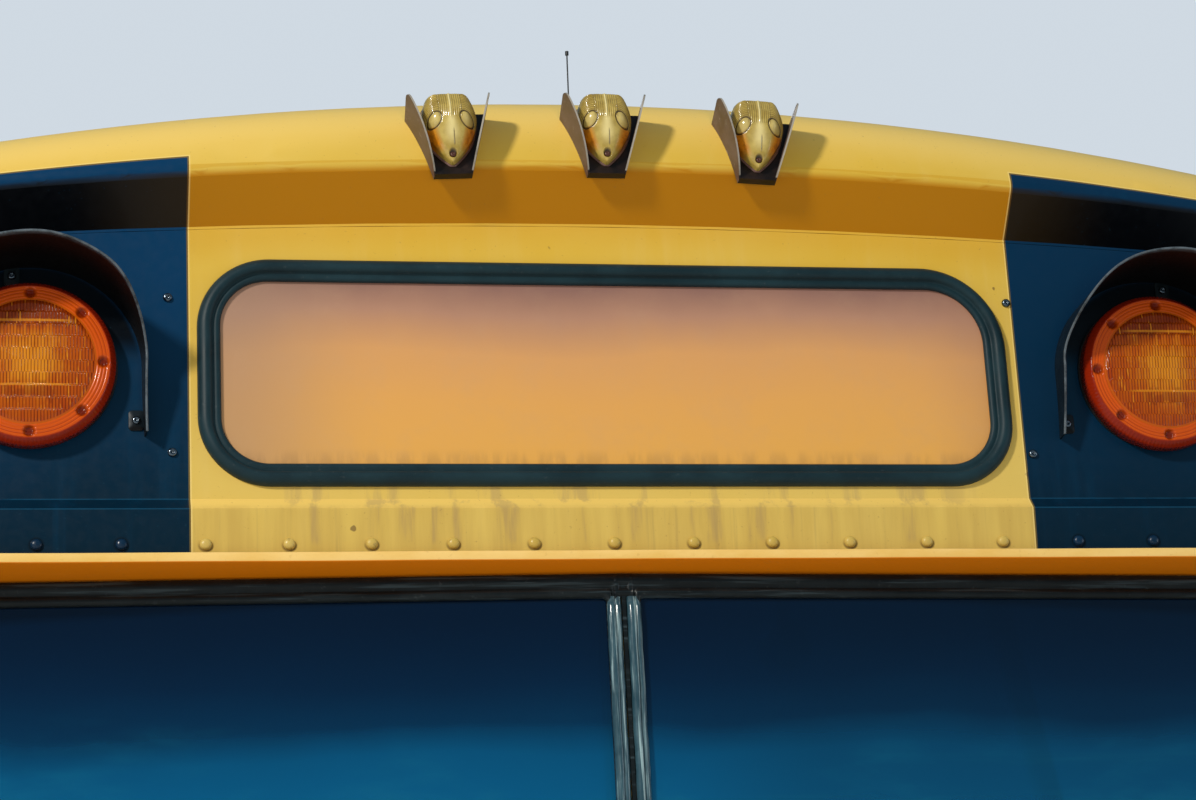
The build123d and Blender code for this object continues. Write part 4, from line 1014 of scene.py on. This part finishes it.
def post_rubber(side, name, finish):
    """Half-round moulding along the centre post, over the edge of one pane's rubber."""
    half = POST_STRIP / 2 - 0.0004
    middle = side * (POST_GAP + POST_STRIP / 2)
    rows = 70
    points = []
    for k in range(rows + 1):
        z = 0.0015 - (GLASS_H + 0.004) * k / rows
        squeeze = 1.0 - 0.35 * max(0.0, 1 - k / 1.5) - 0.35 * max(0.0, 1 - (rows - k) / 1.5)
        wave = 0.0003 * sin(k * 0.9) + 0.0002 * sin(k * 2.3)
        points += [(middle + half * across + wave, z, height * squeeze) for across, height in POST_SECTION]
    faces = grid_faces(rows + 1, len(POST_SECTION), capped=True)
    piece(f"post_moulding_{name}", points, faces, finish, place=on_screen(side))


def post_cap(finish):
    """Rubber that carries the top moulding across the centre post."""
    place = frame_at((0, GLASS_Y, GLASS_TOP), (1, 0, 0), (0, SLOPE, 1))
    foot = SCREEN_SECTION[0][1]
    points = [(x, GASKET_W * (1 - share), height + 0.0002 * (height > foot) - 0.0006 * abs(x) / CAP_X[-1])
              for x in CAP_X for share, height in SCREEN_SECTION]
    faces = grid_faces(len(CAP_X), len(SCREEN_SECTION), capped=True)
    piece("post_cap", points, faces, finish, place=place)


# Drip rail

RAIL_Y = -0.048
RAIL_TOP = RIVET_Z - 0.0113
RAIL_LIP = 0.011
RAIL_FOOT = RIVET_Z - 0.031
RAIL_LEG = 0.015
RAIL_T = 0.002
RAIL_END = 1.0795


def drip_rail(finish):
    """Gutter with a folded lip, its floor ruled back to the swept frame of the windscreen."""
    points = []
    stations = 72
    for k in range(stations + 1):
        x = RAIL_END * (2 * k / stations - 1)
        foot = GLASS_Y + (RAIL_FOOT - GLASS_TOP) * SLOPE + abs(x) * SWEEP_SLOPE - 0.0003
        leg = foot + RAIL_LEG * SLOPE
        wave = 0.00035 * sin(5.2 * x + 1.0) + 0.00015 * sin(23 * x)
        top, low, front = RAIL_TOP + wave, RAIL_TOP - RAIL_LIP + wave, RAIL_Y + 0.0003 * sin(7 * x)
        back = front + RAIL_T
        points += [(x, y, z) for y, z in (
            (front, top - 0.0007), (front, low + 0.0022), (front + 0.0004, low + 0.0009),
            (front + 0.0016, low), (foot, RAIL_FOOT), (leg, RAIL_FOOT + RAIL_LEG),
            (leg - RAIL_T, RAIL_FOOT + RAIL_LEG),
            (foot - RAIL_T, RAIL_FOOT + RAIL_T), (back + 0.001, low + RAIL_T), (back, low + 0.003),
            (back, top - 0.0006), (back - 0.0006, top), (front + 0.0006, top))]
    faces = grid_faces(stations + 1, len(points) // (stations + 1), capped=True)
    made = piece("drip_rail_folded", points, faces, finish, crease=40)
    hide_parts("drip_rail")


# Inside

KNOB_SECTION = [(0.016, 0.0), (0.016, 0.004), (0.013, 0.007), (0.0125, 0.016), (0.01, 0.019),
                (0.0001, 0.0195)]
KNOB_Z = 1.085
DOOR_BACK, PANEL_BACK, SILL_BACK = 0.1641, 0.1531, 0.1501


def door_knobs(finish):
    """Two quarter-turn knobs near the lower edge of each access door."""
    for name, side in SIDES:
        places = [on_back(side * 0.5 + dx, DOOR_BACK, KNOB_Z) for dx in (-0.3, 0.3)]
        scattered(f"door_knobs_{name}", turned(KNOB_SECTION, 28), places, finish,
                  body=f"door_{name}")


def inside_screws(finish):
    """Screws round the inner panel and along the sill."""
    places = [on_back(-0.9 + 0.2 * k, PANEL_BACK, z) for z in (1.008, 1.345) for k in range(10)]
    places += [on_back(-0.96 + 0.24 * k, SILL_BACK, 0.036) for k in range(9)]
    scattered("inside_screws", head_shape(PAN, INSIDE_SCREW, 20), places, finish)


# Studio

FLOOR_HALF = 14.0
# name, place, aim, size, power, colour
LIGHTS = (("key", (-5.0, -5.0, 4.9), (0.0, 0.0, 1.2), 0.8, 500, (1.0, 0.95, 0.86)),
          ("fill", (6.0, -2.6, 1.6), (0.0, 0.0, 1.1), 2.6, 40, (0.9, 0.95, 1.0)),
          ("bounce", (0.0, -3.6, 0.6), (0.0, 0.0, 1.5), 1.0, 6.4, (1.0, 0.74, 0.42)),
          ("back", (0.8, 5.6, 2.6), (0.0, 0.2, 0.9), 2.4, 60, (1.0, 0.98, 0.95)))


def studio():
    """Pale floor, pale backdrop and four soft lamps."""
    mesh = bpy.data.meshes.new("floor")
    corners = [(x * FLOOR_HALF, y * FLOOR_HALF, 0) for x, y in ((-1, -1), (1, -1), (1, 1), (-1, 1))]
    mesh.from_pydata(corners, [], [(0, 1, 2, 3)])
    floor = placed("floor", mesh)
    floor.location = (0, 0, -0.002)
    mesh.materials.append(plain_paint("floor_finish", (0.7, 0.7, 0.69), (0.74, 0.74, 0.73), 0.7, 40,
                                      gloss=0.1))

    world = bpy.data.worlds.new("studio")
    bpy.context.scene.world = world
    world.use_nodes = True
    tree = world.node_tree
    sky = tree.nodes["Background"]
    sky.inputs["Color"].default_value = (0.5, 0.78, 1.0, 1)
    sky.inputs["Strength"].default_value = 0.3
    backdrop = tree.nodes.new("ShaderNodeBackground")
    backdrop.inputs["Color"].default_value = (0.74, 0.82, 0.9, 1)
    backdrop.inputs["Strength"].default_value = 0.85
    seen = tree.nodes.new("ShaderNodeLightPath").outputs["Is Camera Ray"]
    blend = tree.nodes.new("ShaderNodeMixShader")
    for output, socket in zip((seen, sky.outputs[0], backdrop.outputs[0]), blend.inputs):
        tree.links.new(output, socket)
    tree.links.new(blend.outputs[0], tree.nodes["World Output"].inputs[0])
    bpy.context.scene.view_settings.view_transform = "Standard"

    for name, at, aim, size, power, colour in LIGHTS:
        data = bpy.data.lights.new(name, "AREA")
        data.shape, data.size, data.energy, data.color = "DISK", size, power, colour
        lamp = placed(name, data)
        lamp.location = at
        lamp.rotation_euler = (Vector(aim) - Vector(at)).to_track_quat("-Z", "Y").to_euler()
        lamp.visible_camera = lamp.visible_transmission = False
        if name == "bounce":        # or it would show on the floor and in the panes
            data.spread = radians(80)
            lamp.visible_glossy = False


def camera():
    """Camera of the photograph's view."""
    data = bpy.data.cameras.new("camera")
    data.sensor_width = SENSOR
    data.sensor_fit = "HORIZONTAL"
    data.lens = FOCAL_PX / PHOTO_WIDTH * SENSOR
    data.clip_start, data.clip_end = 0.05, 60
    made = placed("camera", data)
    level = cos(CAMERA_PITCH)
    ahead = Vector((sin(CAMERA_YAW) * level, cos(CAMERA_YAW) * level, sin(CAMERA_PITCH)))
    right = Vector((cos(CAMERA_YAW), -sin(CAMERA_YAW), 0))
    up = right.cross(ahead)
    across = right * cos(CAMERA_ROLL) - up * sin(CAMERA_ROLL)
    made.matrix_world = frame_at(CAMERA_AT, across, across.cross(ahead))
    bpy.context.scene.camera = made


# Putting it together

yellow = body_paint("yellow_body")
two_tone = body_paint("yellow_and_black", black=True)
rivet_yellow = plain_paint("rivet_yellow", (0.5, 0.34, 0.06), (0.62, 0.45, 0.12), 0.36, 260,
                           (0.2, 0.13, 0.05))
rail = rail_paint("rail_orange")
# black paint with a painted reflection of the blue sky, for the rivets on the black panels
sky_tinted_black = plain_paint("black_with_painted_sky", (0.001, 0.012, 0.032), (0.0015, 0.022, 0.06), 0.3)
hood_sheet = hood_paint("hood_sheet")
guard_steel = bracket_paint("guard_steel")
lens_rim = plain_paint("lens_rim", (0.1, 0.05, 0.045), (0.2, 0.12, 0.1), 0.32,
                       wear=(0.42, 0.33, 0.26))
black_parts = plain_paint("black_parts", (0.006, 0.007, 0.008), (0.014, 0.015, 0.016), 0.35)
nose_screw = plain_paint("nose_screw", (0.055, 0.018, 0.012), (0.12, 0.045, 0.03), 0.3,
                         wear=(0.22, 0.12, 0.08))
inside_paint = plain_paint("inside_paint", (0.26, 0.3, 0.29), (0.33, 0.37, 0.36), 0.45)
box_paint = plain_paint("box_paint", (0.66, 0.66, 0.64), (0.74, 0.74, 0.72), 0.35)
sign_ring = rubber("sign_rubber", (0.006, 0.019, 0.026), (0.01, 0.032, 0.043), 0.46, 0.22)
screen_ring = rubber("screen_rubber", (0.004, 0.006, 0.007), (0.009, 0.0135, 0.016), 0.34, 0.22,
                     (5, 60, 210, (0.03, 0.046, 0.056)))
# teal-grey stands in for the sheen of black rubber: painted reflection, with streaks of painted highlight
post_ring = rubber("post_rubber", (0.016, 0.048, 0.07), (0.05, 0.115, 0.15), 0.2, 0.6,
                   (330, 100, 6, (0.3, 0.44, 0.48)))
sign_face = sign_plastic("sign_face")
glass = tinted_glass("screen_glass")
amber = lens_plastic("amber_moulding", (0.62, 0.22, 0.009), (0.43, 0.084, 0.001), (0.33, 0.04, 0.001),
                     (0.12, 0.011, 0.001), (0.54, 0.075, 0.003), (0.24, 0.014, 0.002))
red = lens_plastic("red_moulding", (0.8, 0.06, 0.02), (0.46, 0.01, 0.004), (0.3, 0.006, 0.003),
                   (0.08, 0.002, 0.001), (0.38, 0.008, 0.004), (0.16, 0.003, 0.002))
bright_screw = bright_metal("bright_screw", (0.13, 0.16, 0.19), 0.2, 400)
marker_gold = marker_plastic("marker_moulding")
steel = bright_metal("steel", (0.42, 0.43, 0.44), 0.3, 300)

# node name's start, its finish
FINISHES = (("roof_cap", two_tone), ("cap_corner", two_tone), ("header_panel", two_tone), ("pillar", yellow),
            ("windscreen_frame", yellow), ("drip_rail", yellow), ("windscreen_glass", glass),
            ("windscreen_gasket", screen_ring), ("windscreen_post_strip", screen_ring),
            ("sign_gasket", sign_ring), ("sign_panel", sign_face), ("sign_light_box", box_paint),
            ("marker_bracket", guard_steel), ("marker_lens", marker_gold), ("antenna", black_parts),
            ("inner_fitting", black_parts), ("grab_pole", steel), ("amber_lens", amber), ("red_lens", red))
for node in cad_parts:
    found = [finish for start, finish in FINISHES if node.startswith(start)]
    if "hood" in node:
        found = [hood_sheet]
    elif "housing" in node:
        found = [black_parts]
    dress(node, found[0] if found else inside_paint)

flange_rivets(rivet_yellow, sky_tinted_black)
roof_rivets(rivet_yellow)
panel_screws(bright_screw)
hood_screws(bright_screw)
for name, side in SIDES:
    for colour, finish in (("amber", amber), ("red", red)):
        lamp_lens(f"{colour}_lens_{name}", finish, side * LAMPS_X[colour])
        lamp_hood(f"{colour}_hood_{name}", side * LAMPS_X[colour], hood_sheet)
    screen_rubber(side, name, screen_ring)
    post_rubber(side, name, post_ring)
post_cap(screen_ring)
drip_rail(rail)
for name, x in MARKERS_X.items():
    marker_lens(name, x, marker_gold, nose_screw, lens_rim)
sign_rubber(sign_ring)
door_knobs(black_parts)
inside_screws(steel)

studio()
camera()
